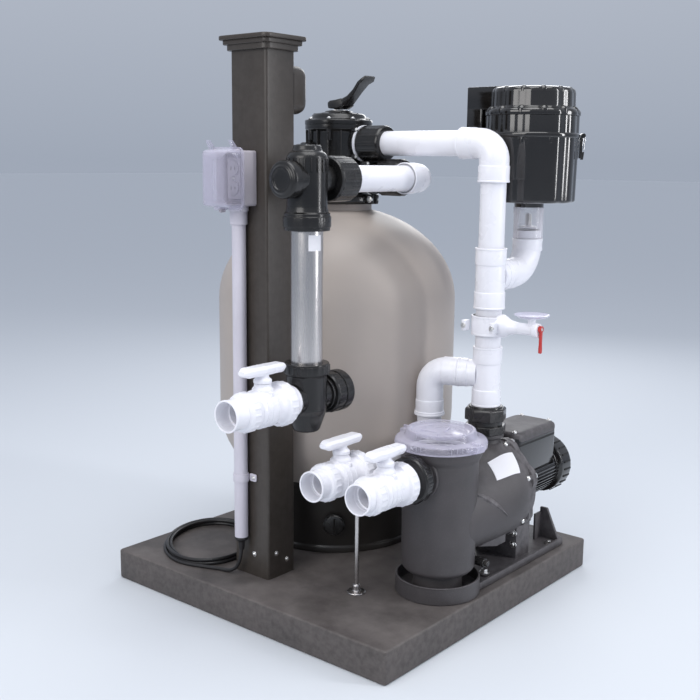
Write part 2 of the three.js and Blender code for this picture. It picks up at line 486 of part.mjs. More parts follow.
// ---------------------------------------------------------------- pump
function pumpPieces() {
  const { x, potY, potR } = pump;
  const pot = vec(x, potY, 0), wet = vec(x, 0, pump.z), line = vec(x, 0, valve.lineZ);
  const inner = potR - pump.potWall;
  const casing = join(
    bar(pot, Z, pump.potLow, pump.potHigh, potR - 4, potR),
    bar(pot, Z, pump.potHigh - 18, pump.potHigh, potR + 8),
    bar(vec(x, 0, pump.throatZ), Y, potY, pump.voluteFront + 2, pump.throatR, pump.throatEndR, 20),
    bar(wet, Y, pump.voluteFront, pump.voluteBack, pump.voluteR),
    bar(wet, Y, pump.voluteBack - 9, pump.voluteBack, sealPlate.r),
    bar(line, Y, pump.suctionEnd, potY, 42),
    bar(vec(riser.x, riser.y, 0), Z, pump.z, dischargeTop, 34),
    bar(vec(riser.x, riser.y, 0), Z, dischargeTop - 8, dischargeTop, 46));
  add('pump_casing', pumpPlastic, cut(casing,
    bar(pot, Z, pump.potLow + pump.potWall, pump.potHigh + 1, inner),
    bar(line, Y, pump.suctionEnd - 1, potY, pipe.bore),
    bar(vec(x, 0, pump.throatZ), Y, potY, pump.voluteFront + 12, pipe.bore),
    bar(wet, Y, pump.voluteFront + 9, pump.voluteBack + 1, pump.voluteR - 32),
    bar(vec(riser.x, riser.y, 0), Z, pump.z, dischargeTop + 1, pipe.bore)));

  add('suction_union', blackGloss,
    hollow(line, Y, valveThree.back + gap, pump.suctionEnd - gap, 55, pipe.bore));
  const footR = basket.r - 8, wall = basket.wall;
  add('strainer_basket', whitePipe, cut(bar(pot, Z, basket.low, pump.potHigh - 6, footR, basket.r),
    bar(pot, Z, basket.low + wall, pump.potHigh, footR - wall, basket.r - wall)));

  const lidLow = pump.potHigh + gap;
  const earWay = heading(earTurn);
  const ears = [-1, 1].map(side => bar(vec(x + earWay.x * side * (lid.r - 6),
    potY + earWay.y * side * (lid.r - 6), 0), Z, lidLow + 6, lid.high - 2, 13, 11, 12));
  add('pump_lid', clearPlastic, cut(join(turned([[0, lidLow], [lid.r, lidLow], [lid.r, lidLow + 18],
    [lid.r - 14, lidLow + 24], [lid.r - 20, lid.high - 6], [lid.r - 32, lid.high], [0, lid.high]],
    x, potY), ...ears), turned([[0, lidLow - 1], [potR - 12, lidLow - 1],
    [potR - 14, lid.high - 12], [0, lid.high - 6]], x, potY)));

  const plateBack = pump.voluteBack + gap + sealPlate.thick;
  add('seal_plate', pumpPlastic, cut(bar(wet, Y, pump.voluteBack + gap, plateBack, sealPlate.r),
    bar(wet, Y, pump.voluteBack, plateBack + 1, motor.shaftR + 1)));

  const motorFront = plateBack + gap;
  const boxSolid = block(x - terminal.halfWidth, x + terminal.halfWidth, terminal.front + gap,
    terminal.back, terminal.low, terminal.high);
  const slots = Array.from({ length: 5 }, (_, i) => block(x - 40, x + 40, motor.end - 10, motor.end + 1,
    pump.z - 36 + i * 16, pump.z - 28 + i * 16));
  add('motor_housing', blackGloss, cut(join(bar(wet, Y, motorFront, motor.end, motor.r), boxSolid,
    bar(wet, Y, motor.end - motor.cowlLength, motor.end, motor.cowlR)),
    bar(wet, Y, motorFront + 6, motor.end - 6, motor.r - motor.wall),
    bar(wet, Y, motorFront - 1, motorFront + 8, motor.shaftR + 1), ...slots));

  add('pump_rotor', stainless, join(
    bar(wet, Y, pump.voluteFront + 22, motor.end - 12, motor.shaftR, motor.shaftR, 20),
    bar(wet, Y, pump.voluteFront + 24, pump.voluteBack - 22, 80),
    bar(wet, Y, motorFront + 40, motor.end - 60, 45),
    bar(wet, Y, motor.end - 26, motor.end - 16, 50)));

  const trayFloor = seat + tray.floor, plateTop = seat + stand.thick;
  const saddleBlock = block(x - saddle.halfWidth, x + saddle.halfWidth, saddle.front, saddle.back,
    seat, saddle.high);
  const fins = [-1, 1].map(side => {
    const rib = [[gusset.inner, seat], [stand.halfWidth - 2, seat], [stand.halfWidth - 2, gusset.toe],
      [gusset.top, gusset.high], [gusset.inner, gusset.high]];
    const points = rib.map(([out, z]) => [x + side * out, z]);
    return sideProfile(side > 0 ? points : points.reverse(), gusset.front, gusset.front + gusset.thick);
  });
  add('pump_base', pumpPlastic, cut(join(
    cut(bar(pot, Z, seat, tray.rim, tray.r), bar(pot, Z, trayFloor, tray.rim + 1, tray.r - 5)),
    bar(pot, Z, seat, pump.potLow - gap, 56),
    block(x - stand.halfWidth, x + stand.halfWidth, potY + stand.joinAt, stand.back, seat, plateTop),
    saddleBlock, ...fins),
    bar(wet, Y, saddle.front - 1, saddle.back + 1, motor.r + gap),
    block(x - saddle.halfWidth + saddle.wall, x + saddle.halfWidth - saddle.wall,
      saddle.front + saddle.wall, saddle.back - saddle.wall, plateTop, pump.z)));
}

// ---------------------------------------------------------------- blower
function blowerPieces() {
  const x = riser.x, { y } = blower;
  const at = vec(x, y, 0);
  add('blower_elbow', whitePipe, fitting(vec(x, y, blowerTee.z),
    [[minusY, y - riser.y - blowerTee.side - gap], [Z, clearTube.low - gap - blowerTee.z]], socket.r, 70));
  add('check_valve_body', clearPlastic, hollow(at, Z, clearTube.low, blower.neckLow - gap,
    clearTube.r, clearTube.r - clearTube.wall));
  add('check_valve_disc', stainless, join(bar(at, Z, 903, 908, 21), bar(at, Z, 907, 938, 5, 5, 12)));
  add('blower_housing', blackGloss, cut(turned([[0, blower.neckLow], [blower.neckR, blower.neckLow],
    [blower.neckR, blower.low], [blower.lowR, blower.low], [blower.r, blower.joint],
    [0, blower.joint]], x, y),
    bar(at, Z, blower.low + 6, blower.joint + 1, blower.lowR - blower.wall, blower.lowR - blower.wall, 24),
    bar(at, Z, blower.neckLow - 1, blower.low + 7, 30)));

  const low = blower.joint + gap, { capR } = blower, rimR = blower.r + 2;
  const drum = turned([[0, low], [rimR, low], [rimR, low + 13], [capR, low + 17],
    [capR, blower.top - blower.crown], [capR - blower.crown, blower.top], [0, blower.top]], x, y);
  const snout = block(x - intake.reach, x - 10, y - intake.halfWidth, y + intake.halfWidth,
    intake.low, intake.high);
  add('blower_cap', blackGloss, cut(join(drum, cut(snout,
    bar(at, Z, intake.low - 1, low, blower.r + 5, blower.r + 5, 24))),
    bar(at, Z, low - 1, blower.top - blower.crown - blower.wall, capR - blower.wall, capR - blower.wall, 24),
    block(x - intake.reach + intake.wall, x, y - intake.halfWidth + intake.wall,
      y + intake.halfWidth - intake.wall, low + 4, intake.high - intake.wall)));

  const way = heading(latch.angle), inner = blower.r + latch.out, outer = inner + latch.thick;
  const spot = (out, side) => new THREE.Vector2(x + way.x * out - way.y * side,
    y + way.y * out + way.x * side);
  const tab = new THREE.Shape([spot(inner, -latch.halfWidth), spot(outer, -latch.halfWidth),
    spot(outer, latch.halfWidth), spot(inner, latch.halfWidth)]);
  const strap = new THREE.ExtrudeGeometry(tab, { depth: latch.height, bevelEnabled: false });
  add('blower_latch', blackGloss, solid(strap.translate(0, 0, latch.low)));
}

// ---------------------------------------------------------------- power cord
function powerCord(conduitY) {
  const lieZ = seat + cord.r;
  const route = [[-75, conduitY, 214], [-75, conduitY, 190], [-75, conduitY, 172], [-75.5, conduitY, 150],
    [-77, -345, 128], [-82, -347, 107], [-91, -350, 92], [-105, -353, 83.5], [-121, -356, lieZ],
    [-137, -360, lieZ], [-151, -365, lieZ], [-163, -370.5, lieZ]];
  const curve = new THREE.CatmullRomCurve3(route.map(([px, py, pz]) => vec(px, py, pz)));
  add('cord_lead', cordRubber, bentBar(curve, cord.r, 20, 8));

  const oval = new THREE.LatheGeometry([[1 - cord.band / cord.coilA, 0], [1, 0], [1, 1],
    [1 - cord.band / cord.coilA, 1], [1 - cord.band / cord.coilA, 0]]
    .map(([r, z]) => new THREE.Vector2(r, z)), 32).rotateX(Math.PI / 2);
  oval.scale(cord.coilA, cord.coilB, cord.height).rotateZ(coilTurn);
  add('cord_coil', cordRubber, solid(oval.translate(cord.coilX, cord.coilY, seat)));
  add('cord_plug', cordRubber, join(roundedPlate(-158, -122, -204, -178, seat, seat + 24, 6),
    block(-123, -104, -201, -199, seat + 8, seat + 15), block(-123, -104, -183, -181, seat + 8, seat + 15)));
}

padAndPost();
const conduitY = powerOutlet();
tankPieces();
multiport(underdrain());
plumbing();
sampleTap();
ultraviolet();
valves();
pumpPieces();
blowerPieces();
powerCord(conduitY);

export default unit;
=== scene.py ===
# %% [markdown]
# # A sand filter unit, dressed for its portrait
# The engineering model of this pool filter unit already stands in the frame: every pipe, nut and
# valve has its place and its motion. This lesson gives each of them the surface of the real thing.
# Nothing is moved. Each new piece rides on the same moving body as the plain solid it stands for.

# %% Load the frame and note its box
import json
from math import acos, cos, pi, radians, sin, tau
import bmesh
import bpy
from mathutils import Matrix, Vector


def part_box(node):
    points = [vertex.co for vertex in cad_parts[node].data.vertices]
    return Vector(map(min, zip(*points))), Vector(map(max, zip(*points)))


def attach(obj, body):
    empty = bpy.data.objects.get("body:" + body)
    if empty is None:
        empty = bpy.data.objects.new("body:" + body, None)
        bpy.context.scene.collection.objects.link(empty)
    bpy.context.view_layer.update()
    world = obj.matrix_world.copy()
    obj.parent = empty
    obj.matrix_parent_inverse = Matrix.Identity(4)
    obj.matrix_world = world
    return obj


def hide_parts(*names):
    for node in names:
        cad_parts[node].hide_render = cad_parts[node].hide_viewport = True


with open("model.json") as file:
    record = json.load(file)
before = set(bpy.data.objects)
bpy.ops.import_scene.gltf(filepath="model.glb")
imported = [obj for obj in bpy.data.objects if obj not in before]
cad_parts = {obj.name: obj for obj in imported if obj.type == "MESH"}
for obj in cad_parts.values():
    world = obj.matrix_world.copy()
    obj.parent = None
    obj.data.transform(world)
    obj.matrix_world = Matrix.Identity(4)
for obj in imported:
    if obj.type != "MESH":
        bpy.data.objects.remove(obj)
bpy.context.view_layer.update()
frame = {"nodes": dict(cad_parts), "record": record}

# %% [markdown]
# The camera comes first, because everything after it is judged through it. A long lens some two
# and a half metres away, a little above the middle of the unit, keeps the uprights nearly parallel.

# %% Camera
LENS, SENSOR = 53.14, 36.0
HEADING, PITCH, TILT = radians(39.77), radians(10.40), radians(0.60)
EYE = Vector((1.6234, -1.9867, 1.0608))

forward = Vector((-sin(HEADING) * cos(PITCH), cos(HEADING) * cos(PITCH), -sin(PITCH)))
level = Vector((cos(HEADING), sin(HEADING), 0))
upward = level.cross(forward)
right_way = level * cos(TILT) + upward * sin(TILT)
up_way = upward * cos(TILT) - level * sin(TILT)

lens = bpy.data.cameras.new("lens")
lens.lens, lens.sensor_width = LENS, SENSOR
camera = bpy.data.objects.new("camera", lens)
turn = Matrix((right_way, up_way, -forward)).transposed().to_4x4()
camera.matrix_world = Matrix.Translation(EYE) @ turn
bpy.context.scene.collection.objects.link(camera)
bpy.context.scene.camera = camera
print("camera at", tuple(round(c, 3) for c in EYE))

# %% [markdown]
# Moulded and turned things are stacks of rings: a pipe, a ribbed nut and a box with soft corners
# differ only in the outline of each ring. One helper that skins a stack of rings therefore makes
# nearly every piece here, and it gives clean quads that take a smooth highlight.

# %% Rings and stacks of rings
X, Y, Z = Vector((1, 0, 0)), Vector((0, 1, 0)), Vector((0, 0, 1))
ROUND = 48


def across(way):
    """Two directions square to a direction, and to each other."""
    way = Vector(way).normalized()
    side = (Z if abs(way.z) < 0.9 else Y).cross(way).normalized()
    return side, way.cross(side)


def circle(centre, u, v, radius, count=ROUND):
    reach = radius if callable(radius) else lambda angle: radius
    angles = [tau * i / count for i in range(count)]
    return [centre + (u * cos(a) + v * sin(a)) * reach(a) for a in angles]


def rectangle(centre, u, v, width, depth, corner, steps=5):
    """A rectangle with rounded corners, running round its centre."""
    corner = min(corner, width / 2 - 1e-5, depth / 2 - 1e-5)
    quarters = [(1, 1, 0), (-1, 1, 1), (-1, -1, 2), (1, -1, 3)]
    points = []
    for side, end, quarter in quarters:
        for i in range(steps + 1):
            a = (quarter + i / steps) * pi / 2
            points.append(centre + u * (side * (width / 2 - corner) + corner * cos(a))
                          + v * (end * (depth / 2 - corner) + corner * sin(a)))
    return points


def softened(points, closed=False, steps=4):
    """Rounds the corners of an outline. A third number on a point is the length cut from it."""
    count, made = len(points), []
    for i, point in enumerate(points):
        here = Vector(point[:2])
        before, after = Vector(points[i - 1][:2]), Vector(points[(i + 1) % count][:2])
        size = point[2] if len(point) > 2 else 0
        if not size or (not closed and i in (0, count - 1)):
            made.append(here)
            continue
        reach = min(size, (before - here).length / 2, (after - here).length / 2)
        start = here + (before - here).normalized() * reach
        end = here + (after - here).normalized() * reach
        for k in range(steps + 1):
            t = k / steps
            made.append(start * (1 - t) ** 2 + here * 2 * t * (1 - t) + end * t * t)
    return made


print("ring helpers ready, a round ring has", ROUND, "points")

# %% [markdown]
# A piece is often several closed shells in one mesh, such as a nut with its washer. The class
# below collects shells, keeps which finish each one has, and then turns them into one object that
# rides on its body and stands for its solids.

# %% A collector of shells
class Shape:
    def __init__(self, *finishes):
        self.mesh = bmesh.new()
        self.finishes = finishes

    def loft(self, rings, paint=0, closed=False):
        """Skins a stack of rings. A ring of one point is a tip; open ends are capped."""
        loops = [[self.mesh.verts.new(p) for p in ring] for ring in rings]
        following = loops[1:] + (loops[:1] if closed else [])
        for low, high in zip(loops, following):
            count = max(len(low), len(high))
            for i in range(count):
                j = (i + 1) % count
                corners = [low[i % len(low)], low[j % len(low)], high[j % len(high)], high[i % len(high)]]
                self.mesh.faces.new(list(dict.fromkeys(corners))).material_index = paint
        if not closed:
            for loop in (loops[0], loops[-1]):
                if len(loop) > 2:
                    self.mesh.faces.new(loop).material_index = paint
        return self

    def turn(self, at, way, outline, paint=0, count=ROUND, wave=None, closed=False):
        """A turned shell. The outline's points are (radius, distance along the axis, rounding)."""
        u, v = across(way)
        rings = []
        for radius, along in softened(outline, closed):
            centre = at + way * along
            shape = radius if wave is None else (lambda a, r=radius: r + wave(a))
            rings.append([centre] if radius < 1e-6 else circle(centre, u, v, shape, count))
        return self.loft(rings, paint, closed)

    def rod(self, at, way, start, end, radius, edge=0.001, paint=0, count=ROUND, wave=None):
        return self.turn(at, way, [(0, start), (radius, start, edge), (radius, end, edge), (0, end)],
                         paint, count, wave)

    def pipe(self, at, way, start, end, radius, bore, edge=0.001, paint=0, count=ROUND, wave=None):
        return self.turn(at, way, [(bore, start, edge), (radius, start, edge), (radius, end, edge),
                                   (bore, end, edge)], paint, count, wave, closed=True)

    def sweep(self, path, outside, inside=None, paint=0, count=ROUND):
        """A tube along a path. Each radius is a number, or a list with one number per point."""
        ways = []
        for i in range(len(path)):
            ways.append((path[min(i + 1, len(path) - 1)] - path[max(i - 1, 0)]).normalized())
        u = across(ways[0])[0]
        rings, cores = [], []
        for i, (point, way) in enumerate(zip(path, ways)):
            u = (u - way * u.dot(way)).normalized()
            v = way.cross(u)
            out = outside[i] if isinstance(outside, list) else outside
            rings.append(circle(point, u, v, out, count))
            if inside:
                cores.append(circle(point, u, v, inside[i] if isinstance(inside, list) else inside, count))
        return self.loft(rings + cores[::-1], paint, closed=bool(inside))

    def box(self, low, high, corner=0.004, edge=0.0015, way=Z, paint=0, spin=0.0):
        """A block with rounded corners round one direction and soft edges at both its ends."""
        low, high = Vector(low), Vector(high)
        centre, size = (low + high) / 2, high - low
        u, v = across(way)
        width, depth = abs(size.dot(u)), abs(size.dot(v))
        half = abs(size.dot(Vector(way))) / 2
        if spin:
            u, v = u * cos(spin) + v * sin(spin), v * cos(spin) - u * sin(spin)
        rings = []
        for end in (-1, 1):
            arc = [(i / 3) * pi / 2 for i in range(4)]
            for a in arc if end < 0 else arc[::-1]:
                trim = edge * (1 - sin(a))
                at = centre + Vector(way) * end * (half - edge * (1 - cos(a)))
                rings.append(rectangle(at, u, v, width - 2 * trim, depth - 2 * trim, corner))
        return self.loft(rings, paint)

    def slab(self, points, thickness, soft=0.0012, paint=0):
        """A plate: a flat outline in space, thickened along its normal, with its edges softened."""
        points = [Vector(p) for p in points]
        normal = sum(((b - points[0]).cross(c - points[0]) for b, c in zip(points[1:], points[2:])),
                     Vector()).normalized()
        base = [self.mesh.verts.new(p) for p in points]
        top = [self.mesh.verts.new(p + normal * thickness) for p in points]
        faces = [self.mesh.faces.new(base[::-1]), self.mesh.faces.new(top)]
        for i in range(len(points)):
            j = (i + 1) % len(points)
            faces.append(self.mesh.faces.new((base[i], base[j], top[j], top[i])))
        for face in faces:
            face.material_index = paint
        edges = list({edge for face in faces for edge in face.edges})
        bmesh.ops.bevel(self.mesh, geom=edges, offset=soft, segments=2, profile=0.6, affect="EDGES",
                        clamp_overlap=True, material=paint)
        return self

    def piece(self, name, *nodes, body="skid", slot=None, sharp=32):
        """Makes the object, sets it riding on its body, hides the solids it stands for and gives it its
        finishes.
        """
        bmesh.ops.recalc_face_normals(self.mesh, faces=self.mesh.faces)
        data = bpy.data.meshes.new(name)
        self.mesh.to_mesh(data)
        self.mesh.free()
        for finish in self.finishes:
            data.materials.append(finish)
        data.shade_smooth()
        data.set_sharp_from_angle(angle=radians(sharp))
        made = bpy.data.objects.new(name, data)
        bpy.context.scene.collection.objects.link(made)
        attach(made, body)
        if nodes:
            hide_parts(*nodes)
        slot or self.finishes[0]["slot"]
        counted.append(len(data.polygons))
        return made


counted = []


def ribs(number, depth, sharpness=2):
    """A wave for a ribbed ring: flat lands with grooves between them."""
    return lambda angle: -depth * abs(sin(angle * number / 2)) ** sharpness


class Place:
    """The box of one or more solids, with its middle and size."""

    def __init__(self, *names):
        boxes = [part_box(name) for name in names]
        self.low = Vector([min(b[0][k] for b in boxes) for k in range(3)])
        self.high = Vector([max(b[1][k] for b in boxes) for k in range(3)])
        self.mid, self.size = (self.low + self.high) / 2, self.high - self.low


at = {name: Place(name) for name in frame["nodes"]}

# %% [markdown]
# Plastic is never one flat colour. Moulded pads have a pebbled skin, extruded posts have fine
# lines drawn along them, flat tops hold dust, and convex edges are painted pale, partly as rubbed
# wear and partly as a painted highlight. Each of these effects is a node group, so that every finish
# can use it with values of its own. A group gives out masks and heights only; the shader itself
# stays in each material.

# %% Node helpers
def node(tree, kind, inputs=None, **settings):
    made = tree.nodes.new("ShaderNode" + kind)
    for key, value in settings.items():
        setattr(made, key, value)
    for key, value in (inputs or {}).items():
        if isinstance(value, bpy.types.NodeSocket):
            tree.links.new(value, made.inputs[key])
        else:
            made.inputs[key].default_value = value
    return made


def effect(name, inputs, outputs, build):
    """A node group with number inputs and number outputs. build returns the output sockets."""
    group = bpy.data.node_groups.new(name, "ShaderNodeTree")
    for title, value in inputs.items():
        group.interface.new_socket(title, in_out="INPUT", socket_type="NodeSocketFloat").default_value = value
    for title in outputs:
        group.interface.new_socket(title, in_out="OUTPUT", socket_type="NodeSocketFloat")
    entry, leave = group.nodes.new("NodeGroupInput"), group.nodes.new("NodeGroupOutput")
    for title, socket in zip(outputs, build(group, entry.outputs)):
        group.links.new(socket, leave.inputs[title])
    print("effect", name, "gives", ", ".join(outputs))
    return group


def number(tree, operation, a, b=0.5, c=0.5):
    made = node(tree, "Math", {0: a, 1: b}, operation=operation)
    if operation == "MULTIPLY_ADD":
        made.inputs[2].default_value = c
    return made.outputs[0]


def graded(tree, value, low, high, to_low=0.0, to_high=1.0):
    made = node(tree, "MapRange", {"Value": value, "From Min": low, "From Max": high,
                                   "To Min": to_low, "To Max": to_high})
    return made.outputs["Result"]


def noise(tree, scale, detail=4.0, rough=0.6, place=None):
    place = place or node(tree, "TexCoord").outputs["Object"]
    return node(tree, "TexNoise", {"Vector": place, "Scale": scale, "Detail": detail,
                                   "Roughness": rough}).outputs["Fac"]


# %% [markdown]
# Four effects cover this unit: a pebbled skin with slow patches of tone, lines drawn along an
# extrusion, dust that settles on faces that look up, and pale edges that are partly rubbed wear and
# partly a painted highlight.

# %% The four shared effects
def build_grain(tree, given):
    fine = noise(tree, given["Fineness"], 5.0)
    slow = noise(tree, number(tree, "MULTIPLY", given["Fineness"], 0.012), 3.0, 0.55)
    specks = graded(tree, noise(tree, number(tree, "MULTIPLY", given["Fineness"], 0.6), 2.0, 0.7), 0.62, 0.72)
    return fine, graded(tree, slow, 0.3, 0.7), specks


def build_drawn(tree, given):
    place = node(tree, "Mapping", {"Vector": node(tree, "TexCoord").outputs["Object"],
                                   "Scale": (1.0, 1.0, 0.02)}).outputs["Vector"]
    return [graded(tree, noise(tree, given["Fineness"], 4.0, 0.7, place), 0.25, 0.75)]


def build_dust(tree, given):
    facing = node(tree, "SeparateXYZ", {0: node(tree, "NewGeometry").outputs["Normal"]}).outputs["Z"]
    patches = graded(tree, noise(tree, given["Fineness"], 6.0, 0.65), 0.35, 0.75)
    return [number(tree, "MULTIPLY", graded(tree, facing, 0.3, 0.95), patches)]


# Convex edges from pointiness, broken up by noise: partly rubbed wear, partly a painted highlight.
def build_wear_and_highlight(tree, given):
    ridge = graded(tree, node(tree, "NewGeometry").outputs["Pointiness"], 0.52, 0.60)
    return [number(tree, "MULTIPLY", ridge, graded(tree, noise(tree, given["Fineness"], 5.0), 0.35, 0.6))]


grain = effect("moulded_grain", {"Fineness": 900.0}, ["Height", "Tone", "Specks"], build_grain)
drawn = effect("drawn_lines", {"Fineness": 400.0}, ["Lines"], build_drawn)
dust = effect("settled_dust", {"Fineness": 30.0}, ["Mask"], build_dust)
wear_and_highlight = effect("rubbed_and_highlit_edges", {"Fineness": 60.0}, ["Mask"], build_wear_and_highlight)

# %% [markdown]
# One recipe then makes every opaque finish. Tone shifts the colour a little to either side, dust
# and edge wear with a painted edge highlight lay a paler colour over it, and the same tone also
# varies the gloss, which is what stops a large moulding from looking like paint.

# %% The recipe for an opaque finish
def tinted(tree, below, above, mask):
    made = node(tree, "Mix", data_type="RGBA")
    for key, value in (("Factor", mask), ("A", below), ("B", above)):
        socket = next(s for s in made.inputs if s.name == key and s.enabled)
        if isinstance(value, bpy.types.NodeSocket):
            tree.links.new(value, socket)
        else:
            socket.default_value = value
    return next(s for s in made.outputs if s.enabled)


def shade(colour, factor):
    return (*[min(1.0, c * factor) for c in colour], 1.0)


def finish(slot, colour, rough, tone=0.06, fineness=900.0, height=0.00004, specks=0.0, dusty=0.0,
           dust_size=30.0, rubbed_and_highlit=0.0, pale=(0.5, 0.49, 0.47), lines=0.0, metal=0.0, coat=0.0):
    made = bpy.data.materials.new(slot)
    made.use_nodes = True
    made["slot"] = slot
    tree = made.node_tree
    shader = tree.nodes["Principled BSDF"]

    def use(group, size):
        placed = node(tree, "Group", node_tree=group)
        placed.inputs["Fineness"].default_value = size
        return placed.outputs

    skin = use(grain, fineness)
    paint = tinted(tree, shade(colour, 1 - tone), shade(colour, 1 + tone), skin["Tone"])
    over = (*pale, 1.0)
    if specks:
        paint = tinted(tree, paint, over, number(tree, "MULTIPLY", skin["Specks"], specks))
    if dusty:
        paint = tinted(tree, paint, over, number(tree, "MULTIPLY", use(dust, dust_size)["Mask"], dusty))
    # Convex edges are laid paler: rubbed wear and a painted edge highlight.
    if rubbed_and_highlit:
        paint = tinted(tree, paint, over, number(tree, "MULTIPLY", use(wear_and_highlight, 60.0)["Mask"], rubbed_and_highlit))
    gloss = graded(tree, skin["Tone"], 0.0, 1.0, max(0.03, rough - 0.07), min(1.0, rough + 0.07))
    relief = skin["Height"]
    if lines:
        streaks = use(drawn, 400.0)["Lines"]
        paint = tinted(tree, paint, shade(colour, 1 - lines), number(tree, "MULTIPLY", streaks, 0.6))
        gloss = graded(tree, streaks, 0.0, 1.0, max(0.03, rough - 0.08), rough + 0.1)
        relief = number(tree, "ADD", relief, streaks)
    tree.links.new(paint, shader.inputs["Base Color"])
    tree.links.new(gloss, shader.inputs["Roughness"])
    bump = node(tree, "Bump", {"Height": relief, "Distance": height, "Strength": 0.6})
    tree.links.new(bump.outputs["Normal"], shader.inputs["Normal"])
    shader.inputs["Metallic"].default_value = metal
    shader.inputs["Coat Weight"].default_value = coat
    shader.inputs["Coat Roughness"].default_value = 0.12
    print("finish", slot)
    return made


# The pale grey laid over dust, rubbed wear and the painted edge highlight.
DUST_WEAR_AND_HIGHLIGHT_GREY = (0.30, 0.27, 0.255)
pad_plastic = finish("pad_plastic", (0.070, 0.060, 0.057), 0.62, tone=0.22, fineness=700, height=0.00012,
                     dusty=0.35, dust_size=9.0, rubbed_and_highlit=0.5, pale=DUST_WEAR_AND_HIGHLIGHT_GREY)
post_plastic = finish("post_plastic", (0.042, 0.034, 0.028), 0.36, tone=0.08, lines=0.12, rubbed_and_highlit=0.10,
                      pale=(0.17, 0.155, 0.14))
tank_resin = finish("tank_resin", (0.415, 0.365, 0.330), 0.42, tone=0.035, fineness=500, height=0.00005)
skirt_plastic = finish("skirt_plastic", (0.024, 0.021, 0.019), 0.34, tone=0.15, dusty=0.15, pale=DUST_WEAR_AND_HIGHLIGHT_GREY)
black_fitting = finish("black_fitting", (0.010, 0.0095, 0.0095), 0.24, tone=0.15, dusty=0.04,
                       rubbed_and_highlit=0.10, pale=DUST_WEAR_AND_HIGHLIGHT_GREY)
white_pvc = finish("white_pvc", (0.86, 0.855, 0.90), 0.30, tone=0.012, fineness=1200, height=0.00002)
pump_plastic = finish("pump_plastic", (0.060, 0.054, 0.056), 0.52, tone=0.16, fineness=1100,
                      height=0.00016, specks=0.22, dusty=0.22, rubbed_and_highlit=0.3, pale=(0.33, 0.31, 0.32))
grey_box = finish("grey_box", (0.42, 0.39, 0.43), 0.45, tone=0.05, dusty=0.2, pale=(0.62, 0.6, 0.63))
red_grip = finish("red_grip", (0.50, 0.035, 0.03), 0.30, tone=0.08)
cord_rubber = finish("cord_rubber", (0.014, 0.013, 0.014), 0.45, tone=0.2, fineness=1500)
stainless = finish("stainless", (0.60, 0.575, 0.565), 0.27, tone=0.05, lines=0.30, metal=1.0, height=0.00002)
bolt_steel = finish("stainless", (0.80, 0.79, 0.77), 0.28, tone=0.08, metal=1.0)
gloss_black = finish("black_fitting", (0.0065, 0.0055, 0.0050), 0.13, tone=0.10, coat=0.6)
conduit_grey = finish("grey_box", (0.60, 0.575, 0.64), 0.42, tone=0.03)
label_white = finish("white_pvc", (0.80, 0.79, 0.82), 0.5, tone=0.02)
# Near-black for real seals and joints, and painted shade in the plug slots and the fan cowl's openings.
seal_and_opening_shade = finish("cord_rubber", (0.006, 0.006, 0.006), 0.6)

# %% [markdown]
# The pump lid, the outlet cover and the check valve's tube are clear. A share of alpha lets light
# through to what they hold, and the facing angle makes their rims denser, as in a real moulding.

# %% The clear finish
def clear_finish(slot, colour, thin, thick):
    made = bpy.data.materials.new(slot)
    made.use_nodes = True
    made["slot"] = slot
    tree = made.node_tree
    shader = tree.nodes["Principled BSDF"]
    rim = node(tree, "LayerWeight", {"Blend": 0.45}).outputs["Facing"]
    tree.links.new(graded(tree, rim, 0.0, 1.0, thin, thick), shader.inputs["Alpha"])
    cloud = noise(tree, 60.0, 3.0)
    tree.links.new(tinted(tree, shade(colour, 0.94), shade(colour, 1.04), cloud), shader.inputs["Base Color"])
    tree.links.new(graded(tree, cloud, 0.3, 0.7, 0.06, 0.13), shader.inputs["Roughness"])
    print("finish", slot, "clear")
    return made


clear_plastic = clear_finish("clear_plastic", (0.60, 0.58, 0.70), 0.18, 0.85)
clear_tube = clear_finish("clear_plastic", (0.86, 0.84, 0.89), 0.10, 0.70)

finishes = {m["slot"]: m for m in (pad_plastic, post_plastic, tank_resin, skirt_plastic, black_fitting,
                                   white_pvc, pump_plastic, stainless, grey_box, clear_plastic, red_grip,
                                   cord_rubber)}
for part in frame["record"]["subparts"]:
    solid = frame["nodes"][part["node"]]
    solid.data.materials.clear()
    solid.data.materials.append(finishes[part["material_slot"]])
print("every solid has a finish")

# %% [markdown]
# The power cord comes out of the conduit's lower end, lands on the pad and lies in a wide loose
# coil: two turns winding in on the pad and two winding out on top of them, then the plug. The
# lead's points are listed one by one; the turns are a spiral on an oval.

# %% Smooth paths
def smooth(points, steps=6):
    """A rounded path through points (Catmull-Rom)."""
    points = [Vector(p) for p in points]
    ends = [points[0] * 2 - points[1], *points, points[-1] * 2 - points[-2]]
    path = []
    for a, b, c, d in zip(ends, ends[1:], ends[2:], ends[3:]):
        for k in range(steps):
            t = k / steps
            path.append(b + (c - a) * t / 2 + (a * 2 - b * 5 + c * 4 - d) * t * t / 2
                        + (b * 3 - a - c * 3 + d) * t ** 3 / 2)
    return path + [points[-1]]


def length_of(path):
    return sum((b - a).length for a, b in zip(path, path[1:]))


# %% Power cord
CORD_R = 0.00425
CORD_Y = at["conduit"].mid.y
COIL_MID = Vector((-0.284, -0.252, 0))
COIL_SHORT, COIL_LONG, COIL_ANGLE = 0.122, 0.164, 0.693
COIL_LANE, COIL_TURNS = 0.00875, 4
PAD_TOP = at["base_pad"].high.z
lie = PAD_TOP + 0.0003 + CORD_R

